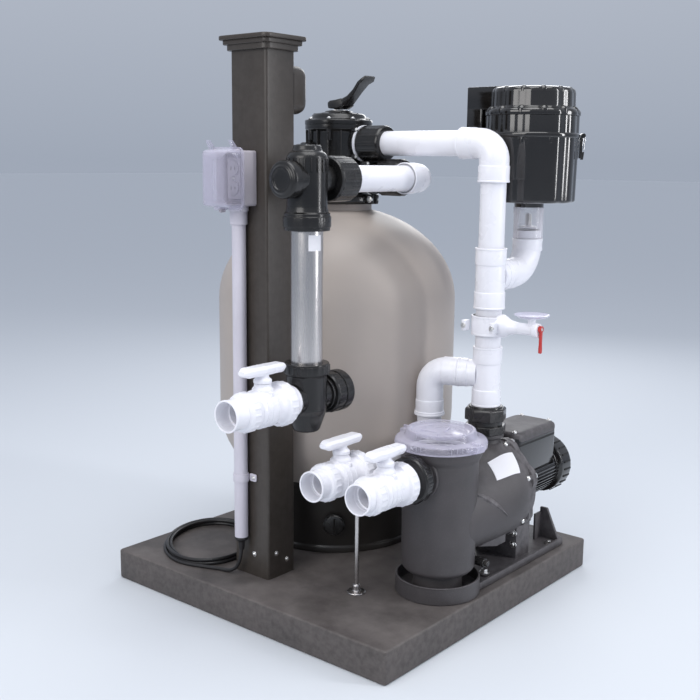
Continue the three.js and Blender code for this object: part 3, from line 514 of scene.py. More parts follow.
lead = [(-0.075, CORD_Y, 0.214), (-0.075, CORD_Y, 0.190), (-0.075, CORD_Y, 0.172),
        (-0.0755, CORD_Y, 0.150), (-0.077, -0.345, 0.128), (-0.082, -0.347, 0.107),
        (-0.091, -0.350, 0.092), (-0.105, -0.353, 0.0835), (-0.121, -0.356, lie),
        (-0.137, -0.360, lie), (-0.151, -0.365, lie), (-0.163, -0.3705, lie)]


def on_coil(angle, inward, height):
    """A point of the coil: inward is the distance in from its outer edge on the short axis."""
    short = Vector((cos(COIL_ANGLE), sin(COIL_ANGLE), 0))
    long = Vector((-short.y, short.x, 0))
    share = 1 - inward / COIL_SHORT
    flat = short * (COIL_SHORT * share * cos(angle)) + long * (COIL_LONG * share * sin(angle))
    return COIL_MID + flat + Z * height


coil, start_angle, per_turn = [], -1.86, 24
for k in range(COIL_TURNS * per_turn - 8):
    gone = k / per_turn
    lane = gone if gone < 2 else 4 - gone
    climb = min(1, max(0, (gone - 2) * 6))
    coil.append(on_coil(start_angle - gone * tau, CORD_R + 0.0006 + lane * COIL_LANE * 0.97,
                        lie + climb * climb * (3 - 2 * climb) * 2 * CORD_R))
PLUG = at["cord_plug"]
plug_end = Vector((PLUG.low.x, PLUG.mid.y, PLUG.mid.z))
tail = [on_coil(0.26, -0.0005, lie + 0.0045), on_coil(0.10, -0.0052, lie + 0.002),
        on_coil(-0.06, -0.0085, lie + 0.003), plug_end - Vector((0.006, -0.006, 0.0006)), plug_end]
cord_path = smooth([*lead, *coil, *tail], 4)
cord_length = length_of(cord_path)

shape = Shape(cord_rubber)
power_cord = shape.sweep(cord_path, CORD_R, count=10).piece("power_cord", "cord_lead", "cord_coil")

body_x = PLUG.low.x + 0.036
shape = Shape(cord_rubber, bolt_steel)
shape.box((PLUG.low.x + 0.010, PLUG.low.y, PLUG.low.z), (body_x, PLUG.high.y, PLUG.high.z), 0.007, 0.003, X)
shape.turn(plug_end, X, [(0, 0), (CORD_R + 0.001, 0, 0.001), (0.009, 0.013, 0.002), (0, 0.013)])
for blade_y in (PLUG.low.y + 0.005, PLUG.high.y - 0.005):
    shape.box((body_x - 0.002, blade_y - 0.001, PLUG.low.z + 0.008),
              (PLUG.high.x, blade_y + 0.001, PLUG.low.z + 0.015), 0.0005, 0.0004, X, 1)
plug = shape.piece("power_plug", "cord_plug")

bush_top = at["conduit"].low.z
shape = Shape(cord_rubber)
shape.turn(Vector((-0.075, CORD_Y, bush_top)), -Z,
           [(0, -0.012), (0.0125, -0.012), (0.0125, -0.0003, 0.001), (0.0165, -0.0003, 0.001),
            (0.0165, 0.006, 0.002), (0.0085, 0.012, 0.004), (0.0062, 0.034, 0.002), (0, 0.034)])
relief = shape.piece("cord_relief", slot="cord_rubber")
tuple(lead[0])
[tuple(p) for p in cord_path]
print("cord", round(cord_length, 2), "m in", COIL_TURNS, "turns")

# %% [markdown]
# The stage is a plain pale floor with a plain sky. A large soft light on the left makes the long
# highlights on the pipes, a weaker one on the right fills them, and one behind gives the black
# fittings an edge.

# %% Floor, sky and lights
FLOOR_TONE = (0.66, 0.69, 0.73)
floor_mesh = bpy.data.meshes.new("floor")
REACH = 60.0
floor_mesh.from_pydata([(-REACH, -REACH, 0), (REACH, -REACH, 0), (REACH, REACH, 0), (-REACH, REACH, 0)],
                       [], [(0, 1, 2, 3)])
floor = bpy.data.objects.new("floor", floor_mesh)
bpy.context.scene.collection.objects.link(floor)
floor_paint = bpy.data.materials.new("floor_paint")
floor_paint.use_nodes = True
floor_paint.node_tree.nodes["Principled BSDF"].inputs["Base Color"].default_value = (*FLOOR_TONE, 1)
floor_paint.node_tree.nodes["Principled BSDF"].inputs["Roughness"].default_value = 0.8
floor_mesh.materials.append(floor_paint)

sky = bpy.data.worlds.new("sky")
bpy.context.scene.world = sky
sky.use_nodes = True
SKY_TONE = (0.82, 0.88, 1.0)
# Low in the sky its colour is the one that the far floor has, so no line shows where they meet.
look = node(sky.node_tree, "TexCoord").outputs["Generated"]
height_up = node(sky.node_tree, "SeparateXYZ", {"Vector": look}).outputs["Z"]
haze = tuple(a * b * 0.98 for a, b in zip(SKY_TONE, FLOOR_TONE))
fade = graded(sky.node_tree, height_up, 0.0, 0.35, 0.0, 1.0)
sky.node_tree.links.new(tinted(sky.node_tree, (*haze, 1), (*SKY_TONE, 1), fade),
                        sky.node_tree.nodes["Background"].inputs["Color"])
sky.node_tree.nodes["Background"].inputs["Strength"].default_value = 0.66
bpy.context.scene.view_settings.view_transform = "Standard"


def soft_light(name, place, aim, size, power, colour=(1, 1, 1)):
    data = bpy.data.lights.new(name, "AREA")
    data.shape, data.size, data.size_y = "RECTANGLE", *size
    data.energy, data.color = power, colour
    made = bpy.data.objects.new(name, data)
    made.location = place
    made.rotation_euler = (Vector(aim) - Vector(place)).to_track_quat("-Z", "Y").to_euler()
    bpy.context.scene.collection.objects.link(made)


MIDDLE = (0, 0, 0.65)
soft_light("front_light", (0.2, -3.8, 2.5), MIDDLE, (2.4, 2.4), 68, (1.0, 0.98, 0.96))
soft_light("right_light", (3.3, 1.3, 1.7), MIDDLE, (0.35, 2.6), 44, (0.98, 0.98, 1.0))
soft_light("top_light", (0.6, -0.4, 3.6), MIDDLE, (2.2, 2.2), 54)
soft_light("back_light", (-1.4, 2.8, 2.2), MIDDLE, (1.2, 2.0), 22)
print("four lights")

# %% [markdown]
# The pad is one hollow moulding with soft edges. The post is a square extrusion with rounded
# corners, so it is a stack of rounded rectangles that goes up outside and down inside. Its cap
# is stepped: a collar, two mouldings and a thin plate with a low crown.

# %% Pad and control post
pad = at["base_pad"]
shape = Shape(pad_plastic)
shape.box(pad.low, pad.high, 0.006, 0.005)
shape.piece("pad_moulding", "base_pad")

post, POST_WALL, POST_CORNER = at["control_post"], 0.005, 0.007
shape = Shape(post_plastic)
u, v = X, Y


def post_ring(z, grow, corner):
    centre = Vector((post.mid.x, post.mid.y, z))
    return rectangle(centre, u, v, post.size.x + 2 * grow, post.size.y + 2 * grow, corner)


shape.loft([post_ring(post.low.z, -POST_WALL, POST_CORNER - POST_WALL), post_ring(post.low.z, 0, POST_CORNER),
            post_ring(post.high.z, 0, POST_CORNER),
            post_ring(post.high.z, -POST_WALL, POST_CORNER - POST_WALL)],
           closed=True)
shape.piece("post_extrusion", "control_post")

cap = at["post_cap"]
steps = [(0.012, 0.010, 0.026), (0.024, 0.0155, 0.0350), (0.034, 0.0225, 0.0436)]
shape = Shape(post_plastic)
for lift, grow, reach_up in steps:
    low = Vector((post.low.x - grow, post.low.y - grow, cap.low.z + lift))
    high = Vector((post.high.x + grow, post.high.y + grow, cap.low.z + reach_up))
    if lift == steps[0][0]:
        low_ring = [(low.z, 0.0004), (low.z, grow - 0.001), (low.z + 0.001, grow), (high.z, grow),
                    (high.z, 0.0004)]
        shape.loft([post_ring(z, g, POST_CORNER + g) for z, g in low_ring], closed=True)
    else:
        shape.box(low, high, POST_CORNER + grow * 0.4, 0.002)
crown = cap.low.z + steps[-1][2]
shape.loft([post_ring(crown - 0.001, 0.016, 0.010), post_ring(cap.high.z - 0.0006, 0.013, 0.010),
            post_ring(cap.high.z, 0.008, 0.008)])
shape.piece("post_capital", "post_cap")

ballast = at["ballast_box"]
shape = Shape(post_plastic)
dome = [(0.0, 0.0), (0.0, 0.55), (0.004, 0.78), (0.010, 0.92), (0.020, 1.0)]
depth = ballast.size.y
rings = []
for trim, share in dome:
    centre = Vector((ballast.mid.x, ballast.low.y + depth * share, ballast.mid.z))
    rings.append(rectangle(centre, X, Z, ballast.size.x - 2 * trim, ballast.size.z - 2 * trim,
                           0.022 - trim / 2))
shape.loft(rings)
shape.piece("ballast_dome", "ballast_box")

# %% [markdown]
# Screws and bolts repeat all over the unit, so they are small functions. A screw has a domed
# head and a washer; a bolt has a six-sided head on a washer.

# %% Screws and bolts
def screw(shape, place, way, radius=0.0045, paint=0):
    shape.turn(place, way, [(0, -0.002), (radius * 1.5, -0.002), (radius * 1.5, 0.0012, 0.0006),
                            (radius, 0.0012), (radius, 0.0026, 0.0008), (radius * 0.55, 0.0042, 0.001),
                            (0.0011, 0.0044), (0.0009, 0.0028), (0, 0.0028)], paint, 20)


def bolt(shape, place, way, radius=0.007, height=0.006, paint=0):
    shape.turn(place, way, [(0, -0.003), (radius * 1.55, -0.003), (radius * 1.55, 0.0016, 0.0006),
                            (0, 0.0016)], paint, 24)
    shape.turn(place, way, [(0, 0.001), (radius, 0.001), (radius, height, 0.001),
                            (radius * 0.8, height + 0.0006),
                            (0, height + 0.0006)], paint, 6)


shape = Shape(bolt_steel)
screw(shape, Vector((post.mid.x + 0.010, post.low.y, PAD_TOP + 0.055)), -Y)
for across_post, up in ((-0.018, 0.060), (0.018, 0.036)):
    screw(shape, Vector((post.high.x, post.mid.y + across_post, PAD_TOP + up)), X)
shape.piece("post_screws", slot="stainless")
print("pad and post done")

# %% [markdown]
# The outlet box is a small grey casting with an open front. Its cover is a clear moulded bubble
# on two hinge ears, deep enough to close over a plug. A grey conduit brings the cord down, held by
# a fitting under the box and a one-ear clip lower on the post.

# %% Outlet box, cover and conduit
box, BOX_WALL = at["outlet_box"], 0.004


def tray_rings(low, high, corner, lips):
    """Rings of an open-fronted box that faces -Y: outside from back to front, then inside back."""
    size, mid = high - low, (low + high) / 2
    rings = []
    for y, trim in lips:
        rings.append(rectangle(Vector((mid.x, y, mid.z)), X, Z, size.x - 2 * trim, size.z - 2 * trim,
                               max(corner - trim, 0.001)))
    return rings


front, back = box.low.y, box.high.y
shape = Shape(grey_box, bolt_steel, seal_and_opening_shade)
shape.loft(tray_rings(box.low, box.high, 0.006,
                      [(back, 0.002), (back - 0.002, 0), (front + 0.001, 0), (front, 0.001),
                       (front, BOX_WALL), (back - 0.012, BOX_WALL)]))
shape.box((box.mid.x - 0.021, back - 0.030, box.mid.z - 0.046),
          (box.mid.x + 0.021, back - 0.010, box.mid.z + 0.046),
          0.004, 0.0015, Y)
for side in (-1, 1):
    face = Vector((box.mid.x, back - 0.030, box.mid.z + side * 0.022))
    shape.rod(face, -Y, -0.003, 0.0025, 0.0165, 0.001)
    # The plug slots are dark boxes: painted shade standing in for the holes.
    for slot_x, tall in ((-0.006, 0.009), (0.006, 0.007)):
        shape.box(face + Vector((slot_x - 0.001, -0.0031, -tall / 2)),
                  face + Vector((slot_x + 0.001, 0, tall / 2)),
                  0.0004, 0.0002, Y, 2)
screw(shape, Vector((box.mid.x, back - 0.030, box.mid.z)), -Y, 0.003, 1)
shape.piece("outlet_casting", "outlet_box")

cover, SKIN = at["outlet_cover"], 0.003
low, high = cover.low.copy(), cover.high.copy()
high.z -= 0.015
back, front = cover.high.y, cover.low.y
bubble = [(front, 0.022), (front + 0.002, 0.013), (front + 0.006, 0.0085), (front + 0.014, 0.006),
          (back - 0.007, 0.004), (back - 0.006, 0.0005), (back - 0.001, 0), (back, 0.001),
          (back, 0.004 + SKIN), (back - 0.009, 0.0042 + SKIN), (front + 0.015, 0.006 + SKIN),
          (front + 0.008, 0.0085 + SKIN), (front + 0.0045, 0.014 + SKIN), (front + 0.0032, 0.022 + SKIN)]
shape = Shape(clear_plastic, grey_box)
shape.loft(tray_rings(low, high, 0.016, bubble))
for side in (-1, 1):
    hinge = Vector((cover.mid.x + side * cover.size.x * 0.36 - 0.003, 0, high.z))
    shape.slab([hinge + Vector((0, back - 0.028, 0.0145)), hinge + Vector((0, back - 0.018, 0.0150)),
                hinge + Vector((0, back - 0.001, -0.004)),
                hinge + Vector((0, back - 0.001, -0.026)), hinge + Vector((0, back - 0.010, -0.020))], 0.006,
               0.002)
    shape.rod(hinge + Vector((-0.001, back - 0.0065, -0.008)), X, 0, 0.008, 0.0042, 0.001, 1, 16)
shape.rod(Vector((cover.mid.x, back - 0.020, low.z - 0.0015)), -Y, -0.006, 0.008, 0.0045, 0.001, 1, 16)
shape.box((cover.mid.x - 0.010, front + 0.008, low.z), (cover.mid.x + 0.010, back - 0.012, low.z + 0.007),
          0.003, 0.001)
shape.piece("outlet_bubble", "outlet_cover", body="cover_leaf", slot="clear_plastic")

pipe = at["conduit"]
line = Vector((pipe.mid.x, pipe.mid.y, 0))
R = pipe.size.x / 2
shape = Shape(conduit_grey, bolt_steel)
shape.pipe(line, Z, pipe.low.z, pipe.high.z, R - 0.0006, R - 0.0032, 0.0008)
shape.pipe(line, Z, pipe.high.z - 0.042, pipe.high.z, R + 0.0032, R - 0.001, 0.0015)
shape.pipe(line, Z, pipe.high.z - 0.012, pipe.high.z, R + 0.006, R - 0.001, 0.0015)
CLIP_Z = 0.322
shape.pipe(line, Z, CLIP_Z - 0.010, CLIP_Z + 0.010, R + 0.0018, R - 0.001, 0.0008)
shape.box(line + Vector((R - 0.002, R - 0.004, CLIP_Z - 0.009)),
          line + Vector((R + 0.020, R + 0.0002, CLIP_Z + 0.009)),
          0.004, 0.0008, Y)
screw(shape, line + Vector((R + 0.012, R - 0.004, CLIP_Z)), -Y, 0.0036, 1)
shape.piece("conduit_pipe", "conduit")
print("outlet done")

# %% [markdown]
# The tank is one smooth shell, blown or wound round a former, so a turned outline with arcs for
# its two domes is exact. The outline is written from the solid's own box. A black skirt carries
# the round bottom, and a clamp in two halves holds the valve's flange on the neck.

# %% Tank, skirt and clamp
shell, clamp = at["tank_shell"], at["neck_clamp"]
TANK = Vector((shell.mid.x, shell.mid.y, 0))
TANK_R, DOME, SIDE_LOW, SIDE_HIGH, NECK_R = shell.size.x / 2, 0.240, 0.408, 0.705, 0.088
WALL, NECK_TOP = 0.008, shell.high.z


def tank_outline(radius, dome, throat, steps=18):
    low = [(radius * sin(a), SIDE_LOW - dome * cos(a))
           for a in (i / steps * pi / 2 for i in range(steps + 1))]
    turn_end = acos(throat / radius)
    high = [(radius * cos(a), SIDE_HIGH + dome * sin(a))
            for a in (i / steps * turn_end for i in range(steps + 1))]
    return low + high


outside = tank_outline(TANK_R, DOME, NECK_R)
inside = tank_outline(TANK_R - WALL, DOME - WALL, NECK_R - 0.010)[::-1]
shape = Shape(tank_resin)
lip = [(NECK_R, NECK_TOP - 0.008, 0.003), (0.098, NECK_TOP - 0.008, 0.001), (0.098, NECK_TOP, 0.001),
       (NECK_R - 0.010, NECK_TOP, 0.001)]
shape.turn(TANK, Z, [*outside, *lip, *inside], count=128)
shape.piece("tank_moulding", "tank_shell", sharp=40)

skirt = at["tank_skirt"]
SKIRT_TOP, SKIRT_FOOT, LIFT = skirt.size.x / 2, 0.225, skirt.low.z
shape = Shape(skirt_plastic)
profile = [(SKIRT_FOOT - 0.060, LIFT, 0.002), (SKIRT_FOOT + 0.004, LIFT, 0.004),
           (SKIRT_FOOT + 0.003, LIFT + 0.014, 0.004),
           (SKIRT_FOOT, LIFT + 0.018, 0.003), (SKIRT_TOP - 0.004, skirt.high.z - 0.022, 0.002),
           (SKIRT_TOP, skirt.high.z - 0.016, 0.003), (SKIRT_TOP, skirt.high.z - 0.002, 0.002),
           (SKIRT_TOP - 0.007, skirt.high.z - 0.001, 0.001), (SKIRT_TOP - 0.010, skirt.high.z - 0.014, 0.002),
           (SKIRT_FOOT - 0.007, LIFT + 0.018, 0.004), (SKIRT_FOOT - 0.060, LIFT + 0.010, 0.002)]
shape.turn(TANK, Z, profile, count=96, closed=True)
shape.piece("skirt_moulding", "tank_skirt")

DRAIN_ANGLE = -0.877
drain_way = Vector((cos(DRAIN_ANGLE), sin(DRAIN_ANGLE), 0))
drain_at = Vector((TANK.x, TANK.y, 0.160)) + drain_way * 0.238
shape = Shape(black_fitting, seal_and_opening_shade)
shape.rod(drain_at, drain_way, -0.030, 0.006, 0.0195, 0.001)
shape.turn(drain_at, drain_way, [(0, 0.006), (0.028, 0.006, 0.001), (0.028, 0.016, 0.002),
                                 (0.024, 0.020, 0.001),
                                 (0.012, 0.021), (0, 0.021)], wave=ribs(16, 0.0015))
shape.box(drain_at + drain_way * 0.017 - Vector((0.004, 0.004, 0.018)),
          drain_at + drain_way * 0.024 + Vector((0.004, 0.004, 0.018)),
          0.003, 0.001)
shape.pipe(drain_at, drain_way, 0.0035, 0.0062, 0.0235, 0.015, 0.001, 1)
shape.piece("drain_cap", "drain_plug")

CLAMP_R, hoop_low, hoop_high = 0.107, clamp.low.z, clamp.high.z
shape = Shape(black_fitting, bolt_steel)
hoop = [(0.092, hoop_low, 0.002), (CLAMP_R - 0.004, hoop_low, 0.002), (CLAMP_R, hoop_low + 0.006, 0.003),
        (CLAMP_R, hoop_high - 0.006, 0.003), (CLAMP_R - 0.004, hoop_high, 0.002), (0.092, hoop_high, 0.002)]
shape.turn(TANK, Z, [*hoop, (0.092, hoop_high - 0.003), (0.0985, hoop_high - 0.004),
                     (0.0985, hoop_low + 0.004),
                     (0.092, hoop_low + 0.003)], count=96, closed=True)
for side in (-1, 1):
    for half in (-1, 1):
        lug = Vector((TANK.x + side * 0.112, TANK.y + half * 0.0085, clamp.mid.z))
        shape.box(lug - Vector((0.012, 0.0055, 0.012)), lug + Vector((0.012, 0.0055, 0.012)), 0.003, 0.0015,
                  Y)
    bolt(shape, Vector((TANK.x + side * 0.116, TANK.y - 0.013, clamp.mid.z)), -Y, 0.0055, 0.006, 1)
    bolt(shape, Vector((TANK.x + side * 0.116, TANK.y + 0.013, clamp.mid.z)), Y, 0.0055, 0.006, 1)
shape.piece("clamp_halves", "neck_clamp")
print("tank", round(TANK_R * 2, 3), "m across")

# %% [markdown]
# The selector valve is a black moulded drum on the tank's neck. Ribs stiffen its sides, bosses
# carry the screws of its lid, and three ports leave it: one to the pump, one to the return line
# and one for waste water. Its lever is a bent paddle on a cross pin.

# %% Ribbed union nuts
def union_nut(shape, place, way, start, end, radius, bore, number=14, paint=0):
    """A ribbed collar with a plain bead at each end."""
    bead = min(0.006, (end - start) * 0.18)
    shape.turn(place, way, [(bore, start, 0.001), (radius - 0.003, start, 0.002),
                            (radius - 0.001, start + bead, 0.001),
                            (radius - 0.001, end - bead, 0.001), (radius - 0.004, end, 0.002),
                            (bore, end, 0.001)],
               paint, closed=True)
    shape.turn(place, way, [(radius - 0.008, start + bead), (radius, start + bead, 0.001),
                            (radius, end - bead, 0.001), (radius - 0.008, end - bead)],
               paint, number * 8, ribs(number, 0.0045, 4), closed=True)


# %% Selector valve body, lid and ports
body, lid = at["multiport_body"], at["multiport_lid"]
HEAD = Vector((TANK.x, TANK.y, 0))
BODY_R, LID_R = 0.078, lid.size.x / 2
UPPER_Z, LOWER_Z, WASTE_ANGLE = at["pump_port_union"].mid.z, at["return_port_union"].mid.z, -2.038
shape = Shape(black_fitting, bolt_steel, white_pvc)
low = body.low.z
shape.turn(HEAD, Z, [(0, low), (0.098, low, 0.001), (0.098, low + 0.007, 0.002),
                     (BODY_R + 0.004, low + 0.009, 0.003),
                     (BODY_R, low + 0.022, 0.004), (BODY_R, body.high.z - 0.018, 0.003),
                     (LID_R - 0.001, body.high.z - 0.012, 0.002), (LID_R - 0.001, body.high.z, 0.001),
                     (0, body.high.z)], count=96)
for i in range(16):
    way = Vector((cos(tau * i / 16), sin(tau * i / 16), 0))
    side = Z.cross(way)
    foot = HEAD + way * (BODY_R - 0.004)
    fin = [foot - side * 0.0018 + Z * (low + 0.010), foot - side * 0.0018 + Z * (body.high.z - 0.014),
           foot - side * 0.0018 + way * 0.011 + Z * (body.high.z - 0.014),
           foot - side * 0.0018 + way * 0.008 + Z * (low + 0.030)]
    shape.slab(fin, 0.0036, 0.0008)
for i in range(8):
    way = Vector((cos(tau * (i + 0.5) / 8), sin(tau * (i + 0.5) / 8), 0))
    shape.rod(HEAD + way * (LID_R - 0.009), Z, body.high.z - 0.040, body.high.z - 0.001, 0.0075, 0.002, 0, 20)
waste_z = (UPPER_Z + LOWER_Z) / 2
waste_way = Vector((cos(WASTE_ANGLE), sin(WASTE_ANGLE), 0))
ports = [(X, UPPER_Z, 0.106, 0.086), (X, LOWER_Z, 0.226, 0.125), (waste_way, waste_z, 0.138, 0.100)]
for way, z, reach, block in ports:
    shape.pipe(HEAD + Z * z, way, 0.060, reach, 0.030, 0.026, 0.001)
    shape.rod(HEAD + Z * z, way, 0.060, block, 0.040, 0.003)
    shape.rod(HEAD + Z * z, way, block - 0.010, block, 0.044, 0.003)
    side = Z.cross(way)
    for cross in (-1, 1):
        for rise in (-1, 1):
            spot = HEAD + Z * (z + rise * 0.033) + side * cross * 0.033 + way * (block - 0.016)
            shape.rod(spot, way, 0, 0.017, 0.0065, 0.002, 0, 16)
            screw(shape, spot + way * 0.017, way, 0.0036, 1)
shape.pipe(HEAD + Z * waste_z, waste_way, 0.118, 0.139, 0.0335, 0.026, 0.002, 2)
shape.pipe(HEAD + Z * waste_z, waste_way, 0.100, 0.118, 0.038, 0.026, 0.003, 0, wave=ribs(12, 0.002))
shape.piece("selector_body", "multiport_body", slot="black_fitting")

shape = Shape(black_fitting, bolt_steel)
low, top = lid.low.z, lid.high.z
shape.turn(HEAD, Z, [(0.0112, low), (LID_R, low, 0.001), (LID_R, low + 0.011, 0.003),
                     (LID_R - 0.014, low + 0.014, 0.003),
                     (LID_R - 0.020, top - 0.008, 0.005), (0.036, top - 0.003, 0.003), (0.034, top, 0.001),
                     (0.0112, top, 0.001)], count=96, closed=True)
for i in range(8):
    way = Vector((cos(tau * (i + 0.5) / 8), sin(tau * (i + 0.5) / 8), 0))
    shape.rod(HEAD + way * (LID_R - 0.009), Z, low + 0.008, low + 0.014, 0.0072, 0.001, 0, 20)
    screw(shape, HEAD + way * (LID_R - 0.009) + Z * (low + 0.014), Z, 0.0042, 1)
    fin_way = Vector((cos(tau * i / 8), sin(tau * i / 8), 0))
    side = Z.cross(fin_way) * 0.0015
    shape.slab([HEAD + fin_way * 0.034 - side + Z * (top - 0.010),
                HEAD + fin_way * 0.034 - side + Z * (top - 0.0035),
                HEAD + fin_way * 0.064 - side + Z * (top - 0.0065),
                HEAD + fin_way * 0.074 - side + Z * (low + 0.013)],
               0.003, 0.0006)
shape.piece("selector_lid", "multiport_lid", slot="black_fitting")

# %% Selector lever and stem
lever, stem = at["multiport_lever"], at["multiport_rotor"]
pin_z = stem.high.z - 0.009
shape = Shape(black_fitting, bolt_steel)
shape.rod(HEAD, Z, stem.low.z, body.high.z - 0.013, 0.057, 0.002)
shape.rod(HEAD, Z, body.high.z - 0.014, pin_z, 0.0098, 0.001)
shape.box((HEAD.x - 0.0095, HEAD.y - 0.0095, pin_z - 0.008), (HEAD.x + 0.0095, HEAD.y + 0.0095, stem.high.z),
          0.003, 0.001)
shape.rod(Vector((HEAD.x, HEAD.y, pin_z)), Y, lever.low.y - HEAD.y + 0.001, lever.high.y - HEAD.y - 0.001,
          0.004, 0.001, 1, 20)
shape.pipe(HEAD, Z, lid.high.z + 0.0004, lid.high.z + 0.0028, 0.026, 0.0105, 0.0008, 1)
shape.piece("selector_stem", "multiport_rotor", body="selector", slot="black_fitting")

shape = Shape(black_fitting)
foot, half = lever.low.z, lever.size.y / 2
tip_z = lever.high.z
# Stations along the lever: distance out, underside, upper side, half width.
stations = [(-0.017, foot + 0.003, foot + 0.017, half - 0.004), (-0.008, foot + 0.001, foot + 0.021, half),
            (0.012, foot, foot + 0.023, half), (0.028, foot + 0.006, foot + 0.028, half - 0.005),
            (0.044, foot + 0.019, foot + 0.036, half - 0.009),
            (0.062, foot + 0.037, foot + 0.051, half - 0.010),
            (0.080, foot + 0.057, foot + 0.068, half - 0.006),
            (0.094, tip_z - 0.016, tip_z - 0.006, half - 0.003),
            (0.102, tip_z - 0.006, tip_z, half - 0.008)]
rings = []
for k, (out, under, over, wide) in enumerate(stations):
    before, after = stations[max(k - 1, 0)], stations[min(k + 1, len(stations) - 1)]
    run = Vector((after[0] - before[0], 0, after[1] + after[2] - before[1] - before[2]))
    run.z /= 2
    normal = Y.cross(run.normalized())
    centre = Vector((HEAD.x + out, HEAD.y, (under + over) / 2))
    thick = (over - under) * max(0.45, run.normalized().x)
    rings.append(rectangle(centre, Y, normal, wide * 2, thick, thick * 0.42))
for side in (-1, 1):
    halves = []
    for k, ring in enumerate(rings):
        out = stations[k][0]
        mid_y = HEAD.y + (side * (0.0125 + stations[k][3]) / 2 if out < 0.03 else 0)
        share = ((stations[k][3] - 0.0125) / (2 * stations[k][3])) if out < 0.03 else 1
        halves.append([Vector((p.x, mid_y + (p.y - HEAD.y) * share, p.z)) for p in ring])
    shape.loft(halves[:4])
shape.loft(rings[3:])
shape.piece("selector_lever_paddle", "multiport_lever", body="selector_lever", slot="black_fitting")

shape = Shape(black_fitting, white_pvc)
pump_nut, return_nut = at["pump_port_union"], at["return_port_union"]
shape.pipe(Vector((pump_nut.low.x, HEAD.y, UPPER_Z)), X, -0.0055, 0.001, pump_nut.size.z / 2 + 0.0005, 0.031,
           0.001, 1)
union_nut(shape, Vector((0, HEAD.y, UPPER_Z)), X, pump_nut.low.x, pump_nut.high.x + 0.014,
          pump_nut.size.z / 2, 0.0306)
shape.piece("pump_port_nut", "pump_port_union", slot="black_fitting")
shape = Shape(black_fitting)
union_nut(shape, Vector((0, HEAD.y, LOWER_Z)), X, return_nut.low.x, return_nut.high.x, return_nut.size.z / 2,
          0.0306)
shape.piece("return_port_nut", "return_port_union", slot="black_fitting")
print("selector valve done")

# %% [markdown]
# The white plumbing is glued pipe: each fitting has a socket a little fatter than the pipe, with a
# bead at its mouth and a soft step where the socket meets the body. One function makes an elbow,
# and tees add a branch to a straight run.

# %% Pipe fittings
PIPE_R, PIPE_BORE, SOCKET_R, SLIM_R = 0.03015, 0.0262, 0.0365, 0.0345


def bend_path(corner, first, second, sweep, leg_one, leg_two, steps=10):
    path = [corner + first * leg_one, corner + first * (leg_one - 0.0005)]
    path += [corner + first * (sweep + (leg_one - sweep) * k / 4) for k in (3, 2, 1)]
    for k in range(steps + 1):
        a = k / steps * pi / 2
        path.append(corner + first * sweep * (1 - sin(a)) + second * sweep * (1 - cos(a)))
    path += [corner + second * (sweep + (leg_two - sweep) * k / 4) for k in (1, 2, 3)]
    return path + [corner + second * (leg_two - 0.0005), corner + second * leg_two]


def hub(shape, place, way, end, depth, radius, paint=0):
    """A socket hub: its mouth is at end, with a bead there and a soft shoulder behind."""
    shape.pipe(place, way, end - depth, end, radius, PIPE_R + 0.0004, 0.0018, paint)
    shape.pipe(place, way, end - 0.005, end, radius + 0.0009, PIPE_R + 0.0004, 0.0012, paint)


def elbow(shape, corner, first, second, leg_one, leg_two, radius, sweep=0.04, depth=0.038, paint=0):
    path = bend_path(corner, first, second, sweep, leg_one - 0.004, leg_two - 0.004)
    shape.sweep(path, radius - 0.0016, PIPE_BORE, paint)
    hub(shape, corner, first, leg_one, min(depth, leg_one - 0.020), radius, paint)
    hub(shape, corner, second, leg_two, min(depth, leg_two - 0.020), radius, paint)


def straight(shape, place, way, start, end, radius, depth=0.040, paint=0):
    shape.pipe(place, way, start + 0.003, end - 0.003, radius - 0.0018, PIPE_BORE, 0.001, paint)
    hub(shape, place, way, end, depth, radius, paint)
    hub(shape, place, -way, -start, depth, radius, paint)


riser = Vector((at["riser_pipe"].mid.x, at["riser_pipe"].mid.y, 0))
top_elbow, top = at["riser_elbow"], at["top_pipe"]
corner = Vector((riser.x, riser.y, UPPER_Z))
LEG = corner.x - top_elbow.low.x

shape = Shape(white_pvc)
shape.pipe(Vector((0, HEAD.y, UPPER_Z)), X, top.low.x, top.high.x, PIPE_R, PIPE_BORE)
shape.piece("top_line", "top_pipe", slot="white_pvc")
shape = Shape(white_pvc)
elbow(shape, corner, -X, -Z, LEG, LEG, SOCKET_R)
shape.piece("top_elbow", "riser_elbow", slot="white_pvc")
shape = Shape(white_pvc)
shape.pipe(riser, Z, at["riser_pipe"].low.z, at["riser_pipe"].high.z, PIPE_R, PIPE_BORE)
shape.piece("riser_line", "riser_pipe", slot="white_pvc")

tee = at["blower_tee"]
TEE_Z = tee.low.z + 0.076
shape = Shape(white_pvc)
straight(shape, riser, Z, tee.low.z, tee.high.z, SOCKET_R)
shape.pipe(riser + Z * TEE_Z, Y, 0.020, tee.high.y - riser.y, SOCKET_R - 0.0016, PIPE_BORE, 0.001)
hub(shape, riser + Z * TEE_Z, Y, tee.high.y - riser.y, 0.022, SOCKET_R)
shape.piece("blower_tee_moulding", "blower_tee", slot="white_pvc")

arm, check = at["blower_elbow"], at["check_valve_body"]
blower_at = Vector((check.mid.x, check.mid.y, 0))
shape = Shape(white_pvc)
elbow(shape, blower_at + Z * TEE_Z, -Y, Z, blower_at.y - arm.low.y, arm.high.z - TEE_Z, SOCKET_R, 0.070,
      0.030)
shape.piece("blower_bend", "blower_elbow", slot="white_pvc")

